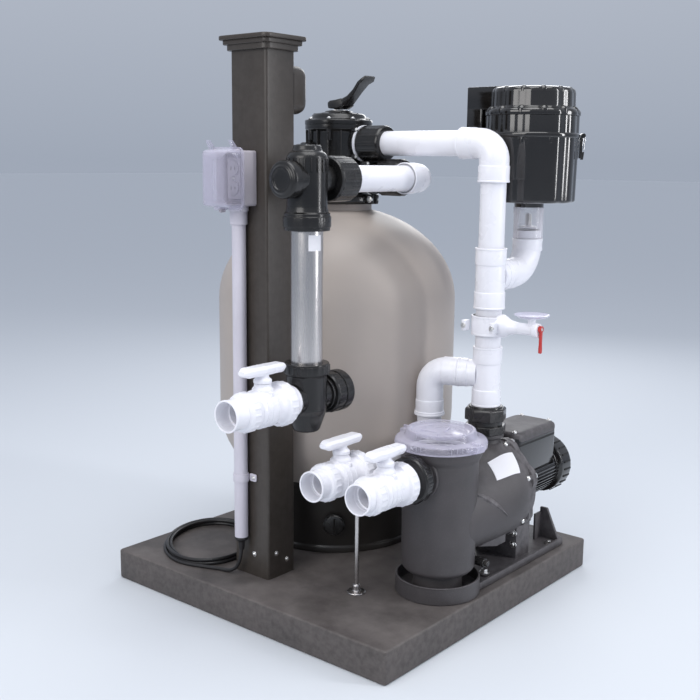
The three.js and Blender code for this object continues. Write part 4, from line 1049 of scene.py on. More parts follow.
low_tee = at["bypass_tee"]
ARM_Z = 0.562
corner_at = Vector((0.196, 0.035, 0))
branch = corner_at - riser
branch_length = branch.length
branch.normalize()
shape = Shape(white_pvc)
straight(shape, riser, Z, low_tee.low.z, low_tee.high.z, SLIM_R)
shape.pipe(riser + Z * ARM_Z, branch, 0.022, 0.068, SLIM_R - 0.0016, PIPE_BORE, 0.001)
hub(shape, riser + Z * ARM_Z, branch, 0.068, 0.024, SLIM_R)
shape.piece("bypass_tee_moulding", "bypass_tee", slot="white_pvc")

run, LINE_Z = at["bypass_run"], 0.368
shape = Shape(white_pvc)
elbow(shape, corner_at + Z * ARM_Z, -branch, -Z, branch_length - 0.0683, 0.111, SLIM_R)
hub(shape, corner_at + Z * ARM_Z, -Z, 0.111, 0.010, SLIM_R + 0.0022)
shape.pipe(corner_at, Z, LINE_Z + 0.050, ARM_Z - 0.050, PIPE_R, PIPE_BORE)
elbow(shape, corner_at + Z * LINE_Z, -Y, Z, 0.060, 0.060, SLIM_R)
shape.pipe(corner_at + Z * LINE_Z, -Y, 0.045, corner_at.y - run.low.y, PIPE_R, PIPE_BORE)
shape.piece("bypass_line", "bypass_run", slot="white_pvc")

back = at["return_run"]
corner = Vector((0.125, HEAD.y, LOWER_Z))
shape = Shape(white_pvc)
elbow(shape, corner, -X, -Y, corner.x - back.low.x, 0.078, SOCKET_R, 0.037, 0.034)
shape.pipe(corner, -Y, 0.045, corner.y - back.low.y, PIPE_R, PIPE_BORE)
shape.piece("return_line", "return_run", slot="white_pvc")
print("plumbing done")

# %% [markdown]
# A small cock on the riser lets a water sample out. Its saddle wraps the pipe, a tapered arm
# carries a clear cup and a red lever hangs at its end.

# %% Sample cock
cock, grip = at["sample_cock"], at["red_lever"]
COCK_Z, ARM_END = 0.681, grip.low.x - riser.x
spot = riser + Z * COCK_Z
shape = Shape(white_pvc, clear_plastic, bolt_steel)
shape.pipe(riser, Z, cock.low.z, cock.high.z, PIPE_R, PIPE_BORE)
shape.pipe(riser, Z, COCK_Z - 0.023, COCK_Z + 0.023, 0.0405, PIPE_R - 0.001, 0.003)
for rise in (-1, 1):
    shape.pipe(riser, Z, COCK_Z + rise * 0.0205 - 0.0025, COCK_Z + rise * 0.0205 + 0.0025, 0.0415 - 0.0006,
               PIPE_R, 0.001)
shape.turn(spot, X, [(0, 0.030), (0.028, 0.030), (0.0265, 0.044, 0.006), (0.018, 0.058, 0.006),
                     (0.0135, 0.080, 0.004),
                     (0.013, ARM_END - 0.016, 0.002), (0.0165, ARM_END - 0.014, 0.002),
                     (0.0165, ARM_END - 0.0005, 0.002),
                     (0, ARM_END - 0.0005)])
cup = spot + X * 0.116
shape.turn(cup, Z, [(0, 0.008), (0.009, 0.008), (0.009, 0.026, 0.004), (0.016, 0.0295, 0.003), (0, 0.0295)])
shape.turn(cup, Z, [(0, 0.0285), (0.030, 0.0285, 0.003), (0.0415, 0.0355, 0.001), (0.0400, 0.0360),
                    (0.029, 0.0305, 0.003),
                    (0, 0.0305)], 1)
for side in (-1, 1):
    shape.box(spot + Vector((0.0385 * side - 0.006, -0.050, -0.012)),
              spot + Vector((0.0385 * side + 0.006, -0.030, 0.012)), 0.003, 0.001)
    bolt(shape, spot + Vector((0.0385 * side, -0.050, 0)), -Y, 0.004, 0.005, 2)
shape.piece("sample_tap", "sample_cock", slot="white_pvc")

hang = Vector((grip.low.x, grip.mid.y, grip.high.z - 0.008))
shape = Shape(red_grip, bolt_steel)
shape.rod(hang, X, 0.0002, grip.size.x - 0.0004, 0.0078, 0.0012)
shape.rod(hang, X, grip.size.x - 0.0012, grip.size.x - 0.0002, 0.0036, 0.0003, 1)
strip = [(0, 0.0055), (0.010, 0.0045), (0.034, 0.0042), (0.046, 0.0056), (0.0545, 0.0052), (0.0558, 0.0030)]
rings = [rectangle(hang + Vector((grip.size.x / 2 + 0.0003, 0, -drop)), X, Y, 0.0062, wide * 2,
                   0.0026) for drop, wide in strip]
shape.loft(rings)
shape.piece("sample_lever_grip", "red_lever", body="sample_lever", slot="red_grip")

# %% [markdown]
# The ultraviolet chamber is a polished tube between two black heads. The heads are turned with a
# ribbed collar where the tube enters, a round cap on the front and a ribbed union at the back.

# %% Ultraviolet chamber
upper, lower, tube = at["uv_upper_head"], at["uv_lower_head"], at["uv_barrel"]
UV = Vector((tube.mid.x, tube.mid.y, 0))
HEAD_R, COLLAR_R, TUBE_R = 0.045, upper.size.x / 2, tube.size.x / 2


def round_cap(shape, place, way, start, end, radius, paint=0):
    """A round screwed cap with a stepped face."""
    shape.turn(place, way, [(0, start), (radius, start, 0.001), (radius, end - 0.008, 0.003),
                            (radius - 0.003, end - 0.004, 0.002),
                            (radius - 0.009, end - 0.003, 0.002), (radius - 0.012, end, 0.002),
                            (radius - 0.017, end, 0.001),
                            (radius - 0.019, end - 0.003, 0.001), (0, end - 0.004)], paint)


shape = Shape(black_fitting, bolt_steel)
low, top = upper.low.z, upper.high.z
shape.turn(UV, Z, [(0, low + 0.074), (TUBE_R + 0.0004, low + 0.074), (TUBE_R + 0.0004, low, 0.001),
                   (COLLAR_R - 0.002, low, 0.002), (COLLAR_R - 0.002, low + 0.007, 0.001),
                   (COLLAR_R, low + 0.008, 0.001),
                   (COLLAR_R, low + 0.030, 0.001), (COLLAR_R - 0.002, low + 0.031, 0.001),
                   (COLLAR_R - 0.002, low + 0.037, 0.002),
                   (HEAD_R + 0.001, low + 0.039, 0.002), (HEAD_R - 0.001, low + 0.050, 0.003),
                   (HEAD_R - 0.001, top - 0.024, 0.004),
                   (HEAD_R - 0.006, top - 0.016, 0.003), (HEAD_R - 0.013, top - 0.012, 0.003),
                   (HEAD_R - 0.016, top, 0.003),
                   (0, top)])
shape.turn(UV, Z, [(COLLAR_R - 0.006, low + 0.009), (COLLAR_R + 0.0002, low + 0.009, 0.001),
                   (COLLAR_R + 0.0002, low + 0.029, 0.001),
                   (COLLAR_R - 0.006, low + 0.029)], count=144, wave=ribs(18, 0.003, 4), closed=True)
for i in range(20):
    a = tau * i / 20
    way = Vector((cos(a), sin(a), 0))
    side = Z.cross(way) * 0.0012
    foot = UV + way * (HEAD_R - 0.003)
    shape.slab([foot - side + Z * (top - 0.058), foot - side + Z * (top - 0.026),
                foot - side + way * 0.0038 + Z * (top - 0.028),
                foot - side + way * 0.0045 + Z * (top - 0.056)], 0.0024, 0.0006)
mid = UV + Z * LOWER_Z
shape.pipe(mid, Y, 0.030, upper.high.y - UV.y, 0.0302, 0.0262, 0.001)
shape.rod(mid, -Y, 0.020, 0.058, 0.034, 0.003)
round_cap(shape, mid, -Y, 0.054, UV.y - upper.low.y, 0.040)
shape.pipe(mid, -Y, 0.050, 0.060, 0.0385, 0.030, 0.002, 0, wave=ribs(16, 0.002))
shape.piece("uv_top_head", "uv_upper_head", slot="black_fitting")

PORT_Z = 0.545
low, top = lower.low.z, lower.high.z
shape = Shape(black_fitting)
shape.turn(UV, Z, [(0, low), (0.026, low, 0.003), (0.030, low + 0.004, 0.003),
                   (HEAD_R - 0.002, PORT_Z - 0.034, 0.010),
                   (HEAD_R, PORT_Z - 0.024, 0.006), (HEAD_R, top - 0.028, 0.003),
                   (COLLAR_R - 0.002, top - 0.024, 0.002),
                   (COLLAR_R - 0.002, top, 0.002), (TUBE_R + 0.0004, top, 0.001),
                   (TUBE_R + 0.0004, PORT_Z + 0.018),
                   (0, PORT_Z + 0.018)])
shape.turn(UV, Z, [(COLLAR_R - 0.006, top - 0.021), (COLLAR_R, top - 0.021, 0.001),
                   (COLLAR_R, top - 0.004, 0.001),
                   (COLLAR_R - 0.006, top - 0.004)], count=144, wave=ribs(18, 0.003, 4), closed=True)
mid = UV + Z * PORT_Z
shape.rod(mid, Y, 0.020, 0.060, 0.034, 0.003)
shape.pipe(mid, Y, 0.050, 0.062, 0.0385, 0.026, 0.002)
union_nut(shape, mid, Y, 0.058, 0.092, 0.047, 0.030, 16)
round_cap(shape, mid, Y, 0.088, lower.high.y - UV.y, 0.0475)
shape.pipe(mid, -Y, 0.030, UV.y - lower.low.y, 0.0345, 0.0262, 0.002)
shape.piece("uv_bottom_head", "uv_lower_head", slot="black_fitting")

shape = Shape(stainless, label_white)
shape.pipe(UV, Z, tube.low.z, tube.high.z, TUBE_R, TUBE_R - 0.002, 0.0005, count=96)
LABEL_FROM, LABEL_TO, LABEL_LOW, LABEL_HIGH = -0.74, 0.16, upper.low.z - 0.042, upper.low.z - 0.008
wrap = [LABEL_FROM + (LABEL_TO - LABEL_FROM) * k / 12 for k in range(13)]
sheet_rings = []
for z in (LABEL_LOW, LABEL_HIGH):
    outer = [UV + Vector((cos(a), sin(a), 0)) * (TUBE_R + 0.0003) + Z * z for a in wrap]
    inner = [UV + Vector((cos(a), sin(a), 0)) * (TUBE_R - 0.0005) + Z * z for a in wrap[::-1]]
    sheet_rings.append(outer + inner)
shape.loft(sheet_rings, 1)
shape.piece("uv_tube", "uv_barrel", slot="stainless")

shape = Shape(black_fitting)
nut = at["uv_return_union"]
union_nut(shape, Vector((UV.x, 0, LOWER_Z)), Y, nut.low.y, nut.high.y, nut.size.z / 2, 0.0306, 16)
shape.piece("uv_return_nut", "uv_return_union", slot="black_fitting")
print("ultraviolet chamber done")

# %% [markdown]
# The three ball valves are one design. A valve is a stack of turned stages along its pipe: socket,
# ribbed nut, round body, waist, and a fat ribbed cuff. The T handle is a bar with bevelled ends on
# a round neck, and it turns with its ball.

# %% Ball valves
def ball_valve(name):
    socket, body, handle = at[name + "_socket"], at[name + "_body"], at[name + "_handle"]
    mid = Vector((handle.mid.x, handle.mid.y, socket.mid.z))
    nose, end = socket.low.y - mid.y, body.high.y - mid.y
    sleeve, belly, cuff = 0.0345, socket.size.x / 2, body.size.x / 2
    shape = Shape(white_pvc)
    shape.turn(mid, Y, [(PIPE_R + 0.0004, nose, 0.001), (sleeve, nose, 0.0015), (sleeve, nose + 0.006, 0.001),
                        (sleeve - 0.0012, nose + 0.0075, 0.001), (sleeve - 0.0012, -0.070, 0.001),
                        (belly - 0.003, -0.068, 0.002),
                        (belly - 0.003, -0.0365, 0.001), (PIPE_BORE, -0.0365), (PIPE_BORE, nose + 0.036),
                        (PIPE_R + 0.0004, nose + 0.036)], closed=True)
    union_nut(shape, mid, Y, -0.067, -0.040, belly, 0.030, 18)
    shape.piece(name + "_nose", name + "_socket", slot="white_pvc")

    shape = Shape(white_pvc)
    core = 0.041
    shape.turn(mid, Y, [(PIPE_BORE, -0.036), (core - 0.004, -0.036, 0.002), (core - 0.001, -0.030, 0.004),
                        (core, -0.015, 0.006),
                        (core, 0.012, 0.006), (core - 0.003, 0.024, 0.005), (core - 0.001, 0.034, 0.003),
                        (cuff - 0.003, 0.038, 0.003),
                        (cuff - 0.003, 0.064, 0.004), (sleeve + 0.004, 0.069, 0.003), (sleeve, 0.074, 0.002),
                        (sleeve, end, 0.0015),
                        (PIPE_BORE, end)], closed=True)
    union_nut(shape, mid, Y, 0.037, 0.067, cuff, 0.034, 20)
    for k in (-0.022, -0.008, 0.008):
        shape.pipe(mid, Y, k - 0.0012, k + 0.0012, core + 0.0010, core - 0.006, 0.0008)
    shape.turn(mid, Z, [(0, 0.030), (0.023, 0.030), (0.0225, 0.043, 0.003), (0.0185, 0.047, 0.002),
                        (0.0180, 0.0535, 0.001),
                        (0, 0.0535)])
    shape.box(mid + Vector((-0.030, -0.004, 0.028)), mid + Vector((0.030, 0.004, 0.038)), 0.002, 0.001)
    shape.piece(name + "_shell", name + "_body", slot="white_pvc")

    shape = Shape(white_pvc)
    top = handle.high.z - mid.z
    shape.turn(mid, Z, [(0, 0.054), (0.0195, 0.0545, 0.001), (0.0195, 0.062, 0.002), (0.0140, 0.066, 0.003),
                        (0.0130, top - 0.018, 0.002),
                        (0.0150, top - 0.015), (0, top - 0.015)])
    half, wide, thick = handle.size.y / 2, 0.030, 0.020
    stages = [(-half, 0.62, 0.45), (-half + 0.008, 0.92, 0.90), (-half + 0.014, 1.0, 1.0),
              (-0.030, 0.92, 1.0), (-0.018, 1.08, 1.0),
              (0.018, 1.08, 1.0), (0.030, 0.92, 1.0), (half - 0.014, 1.0, 1.0), (half - 0.008, 0.92, 0.90),
              (half, 0.62, 0.45)]
    rings = []
    for along, share, tall in stages:
        centre = mid + Vector((0, along, top - thick / 2))
        w, t = wide * share / 2, thick * tall / 2
        corners = [(w, -t * 0.35), (w, t * 0.35), (w * 0.72, t), (-w * 0.72, t), (-w, t * 0.35),
                   (-w, -t * 0.35),
                   (-w * 0.72, -t), (w * 0.72, -t)]
        rings.append([centre + X * a + Z * b for a, b in corners])
    shape.loft(rings)
    shape.piece(name + "_tee", name + "_handle", body=name + "_grip", slot="white_pvc", sharp=24)


for k in (1, 2, 3):
    ball_valve(f"valve_{k}")

rod = at["support_rod"]
stand = Vector((rod.mid.x, rod.mid.y, 0))
shape = Shape(stainless)
shape.rod(stand, Z, rod.low.z + 0.006, rod.high.z, 0.005, 0.001)
shape.turn(stand, Z, [(0, rod.low.z), (0.022, rod.low.z, 0.001), (0.022, rod.low.z + 0.002, 0.001),
                      (0.0205, rod.low.z + 0.0035, 0.001),
                      (0.010, rod.low.z + 0.0050, 0.002), (0.009, rod.low.z + 0.007, 0.001),
                      (0.009, rod.low.z + 0.018, 0.002),
                      (0.0055, rod.low.z + 0.021, 0.001), (0, rod.low.z + 0.021)])
shape.rod(stand, Z, rod.high.z - 0.012, rod.high.z, 0.008, 0.001, count=6)
shape.piece("valve_stand", "support_rod", slot="stainless")
print("valves done")

# %% [markdown]
# The pump's wet end is one charcoal moulding: an upright strainer pot that swells backwards into
# the round pump chamber. A stack of rings whose centre rises a little and whose radius grows gives
# that swelling. The clamp ring at its back has a lobe round each bolt.

# %% Pump casing
casing, pump_lid, plate = at["pump_casing"], at["pump_lid"], at["seal_plate"]
POT = Vector((pump_lid.mid.x, pump_lid.mid.y, 0))
WET_Z, POT_TOP = plate.mid.z, pump_lid.low.z - 0.0003
# Stations of the swelling: place along Y, height of the centre, radius.
swelling = [(-0.130, 0.246, 0.060), (-0.112, 0.247, 0.083), (-0.095, 0.249, 0.0905), (-0.060, 0.253, 0.0955),
            (-0.020, 0.260, 0.104), (0.015, 0.267, 0.112), (0.040, 0.273, 0.1185), (0.058, 0.278, 0.1225),
            (0.078, 0.280, 0.1245), (0.108, 0.280, 0.125)]


def skin_point(y, angle, lift=0.0):
    """A point on the swelling, at an angle from +X towards +Z."""
    for (y0, z0, r0), (y1, z1, r1) in zip(swelling, swelling[1:]):
        if y0 <= y <= y1:
            t = (y - y0) / (y1 - y0)
            r = r0 + (r1 - r0) * t + lift
            return Vector((POT.x + r * cos(angle), y, z0 + (z1 - z0) * t + r * sin(angle)))


shape = Shape(pump_plastic, bolt_steel, label_white, black_fitting)
shape.loft([circle(Vector((POT.x, y, z)), X, Z, r, 72) for y, z, r in swelling])
pot_r = 0.088
shape.turn(POT, Z, [(0, casing.low.z), (pot_r - 0.012, casing.low.z, 0.004),
                    (pot_r - 0.003, casing.low.z + 0.010, 0.006),
                    (pot_r, POT_TOP - 0.030, 0.004), (pot_r + 0.007, POT_TOP - 0.020, 0.004),
                    (pot_r + 0.008, POT_TOP, 0.002),
                    (pot_r - 0.009, POT_TOP, 0.002), (pot_r - 0.009, casing.low.z + 0.009, 0.006),
                    (0, casing.low.z + 0.009)],
           count=96)
port_z = 0.368
line = Vector((POT.x, 0, port_z))
shape.turn(line, -Y, [(0.0262, 0.110), (0.055, 0.110), (0.047, 0.168, 0.010), (0.043, 0.180, 0.003),
                      (0.043, -casing.low.y, 0.002),
                      (0.0262, -casing.low.y, 0.001)], closed=True)
shape.turn(line, -Y, [(0.040, 0.176), (0.050, 0.176, 0.002), (0.050, 0.184, 0.002), (0.040, 0.184)],
           closed=True)
riser_foot = Vector((riser.x, riser.y, 0))
neck_top = 0.419
shape.turn(riser_foot, Z, [(0, WET_Z), (0.058, WET_Z + 0.080, 0.010), (0.042, neck_top - 0.030, 0.012),
                           (0.036, neck_top - 0.012, 0.003),
                           (0.046, neck_top - 0.008, 0.002), (0.046, neck_top, 0.001), (0, neck_top)])
BOLTS = [1.15, 0.35, -0.56, -1.17, pi - 1.15, pi - 0.35, 0.56 - pi, 1.17 - pi]


def lobes(angle):
    """Bulges of the clamp ring, one round each bolt."""
    near = min(abs((angle - b + pi) % tau - pi) for b in BOLTS)
    return -0.0085 * min(1.0, max(0.0, (near - 0.10) / 0.14)) if near > 0.10 else 0.0


flange_low, flange_high = 0.1085, plate.low.y - 0.0003
u, v = X, Z


def lobed(y, radius):
    return circle(Vector((POT.x, y, WET_Z)), u, v, lambda a: radius + lobes(a), 160)


shape.loft([lobed(flange_low, 0.1275), lobed(flange_low + 0.0015, 0.130), lobed(flange_high, 0.130)])
for a in BOLTS:
    spot = Vector((POT.x + 0.1235 * cos(a), flange_low - 0.0095, WET_Z + 0.1235 * sin(a)))
    shape.rod(spot, Y, 0.0, 0.012, 0.0078, 0.002, 0, 20)
    shape.turn(spot, -Y, [(0, -0.002), (0.0068, -0.002), (0.0068, 0.002, 0.001), (0.0052, 0.0062, 0.003),
                          (0, 0.0068)], 1, 24)
ridge_rings = []
for k in range(9):
    t = k / 8
    y, a = -0.070 + 0.088 * t, 0.80 - 0.96 * t
    w = 0.010 * sin(pi * min(1, t * 1.02 + 0.06)) + 0.001
    middle = skin_point(y, a, 0.0)
    outward = (middle - Vector((POT.x, y, 0.268))).normalized()
    run = (skin_point(min(y + 0.01, 0.1), a - 0.11) - middle).normalized()
    side = outward.cross(run).normalized()
    ridge_rings.append([middle + side * w - outward * 0.004, middle + side * w * 0.35 + outward * 0.0028,
                        middle - side * w * 0.35 + outward * 0.0028, middle - side * w - outward * 0.004])
shape.loft(ridge_rings)
LABEL = [(0.016, 1.08), (0.089, 0.93), (0.073, 0.51), (0.006, 0.66)]
steps = [k / 6 for k in range(7)]
corners = [Vector((y, a, 0)) for y, a in LABEL]
sheet = [[corners[0].lerp(corners[1], s).lerp(corners[3].lerp(corners[2], s),
                                              t) for t in steps] for s in steps]
shape.loft([[skin_point(p.x, p.y, 0.0012) for p in row] + [skin_point(p.x, p.y, -0.002) for p in row[::-1]]
            for row in sheet], 2)
for side in (-1, 1):
    shape.slab([Vector((POT.x + side * 0.060, -0.020, 0.172)), Vector((POT.x + side * 0.060, 0.100, 0.172)),
                Vector((POT.x + side * 0.060, 0.100, 0.150)), Vector((POT.x + side * 0.060, 0.060, 0.150))],
               0.006, 0.001)
drain = Vector((POT.x + 0.040, POT.y + 0.060, 0.146))
shape.rod(drain, X, 0.020, 0.052, 0.0105, 0.002, 3, 20)
shape.rod(drain, X, 0.050, 0.060, 0.0075, 0.002, 3, 6)
shape.piece("pump_moulding", "pump_casing", slot="pump_plastic", sharp=36)

shape = Shape(black_fitting)
nut = at["suction_union"]
union_nut(shape, line, Y, nut.low.y, nut.high.y, nut.size.x / 2, 0.0262, 16)
shape.piece("suction_nut", "suction_union", slot="black_fitting")

nut = at["discharge_union"]
shape = Shape(black_fitting)
low, top = nut.low.z, nut.high.z
shape.turn(riser_foot, Z, [(0.0262, low), (0.050, low, 0.002), (0.0505, low + 0.020, 0.002),
                           (0.0262, low + 0.020)], 0, 8,
           closed=True)
shape.turn(riser_foot, Z, [(0.0262, low + 0.018), (0.041, low + 0.018), (0.041, low + 0.034, 0.002),
                           (0.0262, low + 0.034)],
           closed=True)
shape.turn(riser_foot, Z, [(0.0262, low + 0.032), (0.0505, low + 0.032, 0.003), (0.0505, top - 0.008, 0.002),
                           (0.046, top - 0.004, 0.002),
                           (0.0262, top - 0.004)], 0, 8, closed=True)
shape.turn(riser_foot, Z, [(0.0262, top - 0.006), (0.041, top - 0.006), (0.040, top, 0.001), (0.0262, top)],
           closed=True)
shape.piece("discharge_nut", "discharge_union", slot="black_fitting")

# %% Pump lid and basket
shape = Shape(clear_plastic)
low, top, RIM = pump_lid.low.z, pump_lid.high.z, pump_lid.size.x / 2
shape.turn(POT, Z, [(0, top - 0.014, 0), (0.052, top - 0.014, 0.003), (0.058, top - 0.008, 0.003),
                    (0.066, top - 0.007, 0.003),
                    (0.071, top, 0.003), (0.078, top, 0.003), (0.084, low + 0.022, 0.003),
                    (RIM - 0.003, low + 0.018, 0.004),
                    (RIM, low + 0.012, 0.003), (RIM, low, 0.002), (RIM - 0.014, low, 0.001),
                    (RIM - 0.016, low + 0.012, 0.002),
                    (0.078, low + 0.016, 0.003), (0.073, top - 0.005, 0.003), (0.070, top - 0.005, 0.003),
                    (0.066, top - 0.012, 0.003), (0.056, top - 0.012, 0.003), (0.050, top - 0.018, 0.003),
                    (0, top - 0.018)],
           count=96)
EAR_ANGLE = -0.12
for flip in (0, pi):
    way = Vector((cos(EAR_ANGLE + flip), sin(EAR_ANGLE + flip), 0))
    side = Z.cross(way)
    foot = POT + way * (RIM - 0.012)
    shape.slab([foot - side * 0.021 + Z * (low + 0.004),
                foot + way * 0.0235 - side * 0.014 + Z * (low + 0.004),
                foot + way * 0.0235 + side * 0.014 + Z * (low + 0.004),
                foot + side * 0.021 + Z * (low + 0.004)], 0.015, 0.003)
    shape.slab([foot - side * 0.004 + Z * (low + 0.010),
                foot + way * 0.022 - side * 0.004 + Z * (low + 0.010),
                foot + way * 0.022 + side * 0.004 + Z * (low + 0.010),
                foot + side * 0.004 + Z * (low + 0.010)], 0.015, 0.0015)
for k in range(4):
    way = Vector((cos(0.3 + k * pi / 2), sin(0.3 + k * pi / 2), 0))
    side = Z.cross(way) * 0.0016
    shape.slab([POT + way * 0.010 - side + Z * (top - 0.015), POT + way * 0.050 - side + Z * (top - 0.015),
                POT + way * 0.050 - side + Z * (top - 0.009), POT + way * 0.012 - side + Z * (top - 0.012)],
               0.0032, 0.0008)
shape.piece("clear_lid", "pump_lid", body="lid", slot="clear_plastic")

basket = at["strainer_basket"]
BASKET_R, low, top = basket.size.x / 2, basket.low.z, basket.high.z
shape = Shape(white_pvc)
shape.pipe(POT, Z, top - 0.008, top, BASKET_R, BASKET_R - 0.0045, 0.001)
RIBS, HOOPS = 28, 9
for i in range(RIBS):
    a = tau * i / RIBS
    way = Vector((cos(a), sin(a), 0))
    path = [POT + way * (BASKET_R - 0.0095) + Z * (low + 0.001),
            POT + way * (BASKET_R - 0.0022) + Z * (top - 0.004)]
    shape.sweep(path, 0.0014, count=6)
for k in range(HOOPS):
    t = k / (HOOPS - 1)
    shape.pipe(POT, Z, low + (top - low - 0.014) * t, low + (top - low - 0.014) * t + 0.003,
               BASKET_R - 0.0080 + 0.0070 * t, BASKET_R - 0.0104 + 0.0070 * t, 0.0006)
shape.rod(POT, Z, low, low + 0.0028, BASKET_R - 0.0085, 0.001)
shape.piece("basket_moulding", "strainer_basket", body="basket", slot="white_pvc")
print("pump casing done")

# %% [markdown]
# Behind the chamber come the seal plate, the motor in its black shell with a box of terminals on
# top, and a fan cowl with slots. The pump stands on a base that is one long moulding: a round tray
# under the pot, a tongue, and a saddle with webs under the motor.

# %% Seal plate, motor and base
motor, stand_on = at["motor_housing"], at["pump_base"]
axis = Vector((POT.x, 0, WET_Z))
shape = Shape(pump_plastic, bolt_steel)
low, top = plate.low.y, plate.high.y
shape.loft([lobed(low, 0.130), lobed(low + 0.009, 0.130), lobed(low + 0.010, 0.128),
            circle(Vector((POT.x, low + 0.011, WET_Z)), X, Z, 0.112, 160),
            circle(Vector((POT.x, top - 0.002, WET_Z)), X, Z, 0.088, 160),
            circle(Vector((POT.x, top, WET_Z)), X, Z, 0.085, 160)])
for a in BOLTS:
    spot = Vector((POT.x + 0.1235 * cos(a), low + 0.009, WET_Z + 0.1235 * sin(a)))
    bolt(shape, spot, Y, 0.0055, 0.005, 1)
shape.piece("seal_plate_moulding", "seal_plate", slot="pump_plastic")

MOTOR_R, COWL_R, low, end = 0.066, 0.075, motor.low.y, motor.high.y
shape = Shape(gloss_black, bolt_steel, seal_and_opening_shade, pump_plastic)
shape.turn(axis, Y, [(0, low), (MOTOR_R - 0.006, low, 0.002), (MOTOR_R - 0.002, low + 0.006, 0.003),
                     (MOTOR_R - 0.002, low + 0.016, 0.002),
                     (MOTOR_R - 0.006, low + 0.020, 0.002), (MOTOR_R - 0.006, end - 0.060, 0.002),
                     (COWL_R - 0.002, end - 0.056, 0.003),
                     (COWL_R, end - 0.010, 0.008), (COWL_R - 0.012, end, 0.006), (0, end)], count=96)
for i in range(28):
    a = pi * 0.90 + (pi * 1.2) * i / 27 + 0.001
    way = Vector((cos(a), 0, sin(a)))
    side = Y.cross(way) * 0.0012
    foot = axis + way * (MOTOR_R - 0.010)
    shape.slab([foot - side + Y * (low + 0.022), foot - side + Y * (end - 0.062),
                foot - side + way * 0.0095 + Y * (end - 0.062),
                foot - side + way * 0.0095 + Y * (low + 0.022)], 0.0024, 0.0006)
# The dark rings between the spokes are painted shade standing in for the grille's openings.
for ring_r in (0.018, 0.028, 0.038, 0.048):
    shape.pipe(axis, Y, end - 0.002, end, ring_r + 0.0025, ring_r - 0.0025, 0.0005, 2)
for i in range(12):
    a = tau * i / 12
    way = Vector((cos(a), 0, sin(a)))
    side = Y.cross(way) * 0.002
    shape.slab([axis + way * 0.012 - side + Y * (end - 0.003), axis + way * 0.052 - side + Y * (end - 0.003),
                axis + way * 0.052 + side + Y * (end - 0.003), axis + way * 0.012 + side + Y * (end - 0.003)],
               0.0029, 0.0005)
# The dark slabs round the cowl are painted shade standing in for its air slots.
for i in range(24):
    a = tau * i / 24
    way, side = Vector((cos(a), 0, sin(a))), Vector((-sin(a), 0, cos(a))) * 0.0022
    foot = axis + way * (COWL_R - 0.004) - side
    shape.slab([foot + Y * (end - 0.044), foot + Y * (end - 0.014), foot + way * 0.0048 + Y * (end - 0.014),
                foot + way * 0.0048 + Y * (end - 0.044)], 0.0044, 0.0012, 2)
BOX_LOW, BOX_FRONT, BOX_BACK, BOX_TOP = 0.290, 0.1456, 0.338, motor.high.z
shape.box((axis.x - 0.058, BOX_FRONT, BOX_LOW), (axis.x + 0.058, BOX_BACK, BOX_TOP - 0.012), 0.016, 0.003)
shape.box((axis.x - 0.060, BOX_FRONT, BOX_TOP - 0.030), (axis.x + 0.060, BOX_BACK, BOX_TOP), 0.020, 0.012, Z,
          3)
shape.box((axis.x - 0.0592, BOX_FRONT + 0.0006, BOX_TOP - 0.034),
          (axis.x + 0.0592, BOX_BACK - 0.0006, BOX_TOP - 0.029),
          0.018, 0.001, Z, 2)
for side in (-1, 1):
    for y in (BOX_FRONT + 0.012, BOX_BACK - 0.012):
        screw(shape, Vector((axis.x + side * 0.040, y, BOX_TOP - 0.0005)), Z, 0.0038, 1)
    for a in (0.6, pi - 0.6):
        bolt(shape, axis + Vector((cos(a) * 0.052, end - 0.003, sin(a) * 0.052)), Y, 0.0040, 0.0026, 1)
shape.piece("motor_shell", "motor_housing", slot="black_fitting")

shape = Shape(pump_plastic, bolt_steel)
low, rim, TRAY_R = stand_on.low.z, 0.117, 0.099
shape.turn(POT, Z, [(0, low), (TRAY_R, low, 0.003), (TRAY_R - 0.001, rim - 0.004, 0.001),
                    (TRAY_R, rim, 0.002), (TRAY_R - 0.005, rim, 0.001),
                    (TRAY_R - 0.006, low + 0.009, 0.003), (0.058, low + 0.007, 0.002),
                    (0.056, casing.low.z - 0.0003, 0.002),
                    (0, casing.low.z - 0.0003)], count=96)
HALF, PLATE_TOP = 0.084, low + 0.014
shape.box((POT.x - HALF, POT.y + 0.042, low), (POT.x + HALF, stand_on.high.y, PLATE_TOP), 0.040, 0.004)
for side in (-1, 1):
    rail = POT.x + side * (HALF - 0.004)
    shape.box((rail - 0.004, POT.y + 0.050, low + 0.003),
              (rail + 0.004, stand_on.high.y - 0.050, PLATE_TOP + 0.006), 0.002, 0.002)
    shape.rod(Vector((POT.x + side * 0.058, POT.y + 0.112, PLATE_TOP)), Z, -0.002, 0.008, 0.012, 0.002, 0, 24)
    bolt(shape, Vector((POT.x + side * 0.058, POT.y + 0.112, PLATE_TOP + 0.008)), Z, 0.0080, 0.008, 1)
    heel = [(0.024, PLATE_TOP - 0.002), (HALF - 0.003, PLATE_TOP - 0.002), (HALF - 0.003, low + 0.016),
            (0.044, 0.172), (0.024, 0.172)]
    heel = [Vector((POT.x + side * out, 0.338 if side > 0 else 0.330, z)) for out, z in heel]
    shape.slab(heel, 0.008, 0.002)
    shape.box((POT.x + side * 0.026 - 0.003, 0.300, PLATE_TOP - 0.002),
              (POT.x + side * 0.026 + 0.003, 0.334, 0.160), 0.001, 0.001)
    bolt(shape, Vector((POT.x + side * 0.068, 0.300, PLATE_TOP)), Z, 0.0075, 0.008, 1)
    for x, z in ((0.050, 0.126), (0.050, 0.155)):
        bolt(shape, Vector((POT.x + side * x, 0.152, z)), -Y, 0.0065, 0.006, 1)
SADDLE_R = MOTOR_R + 0.0004
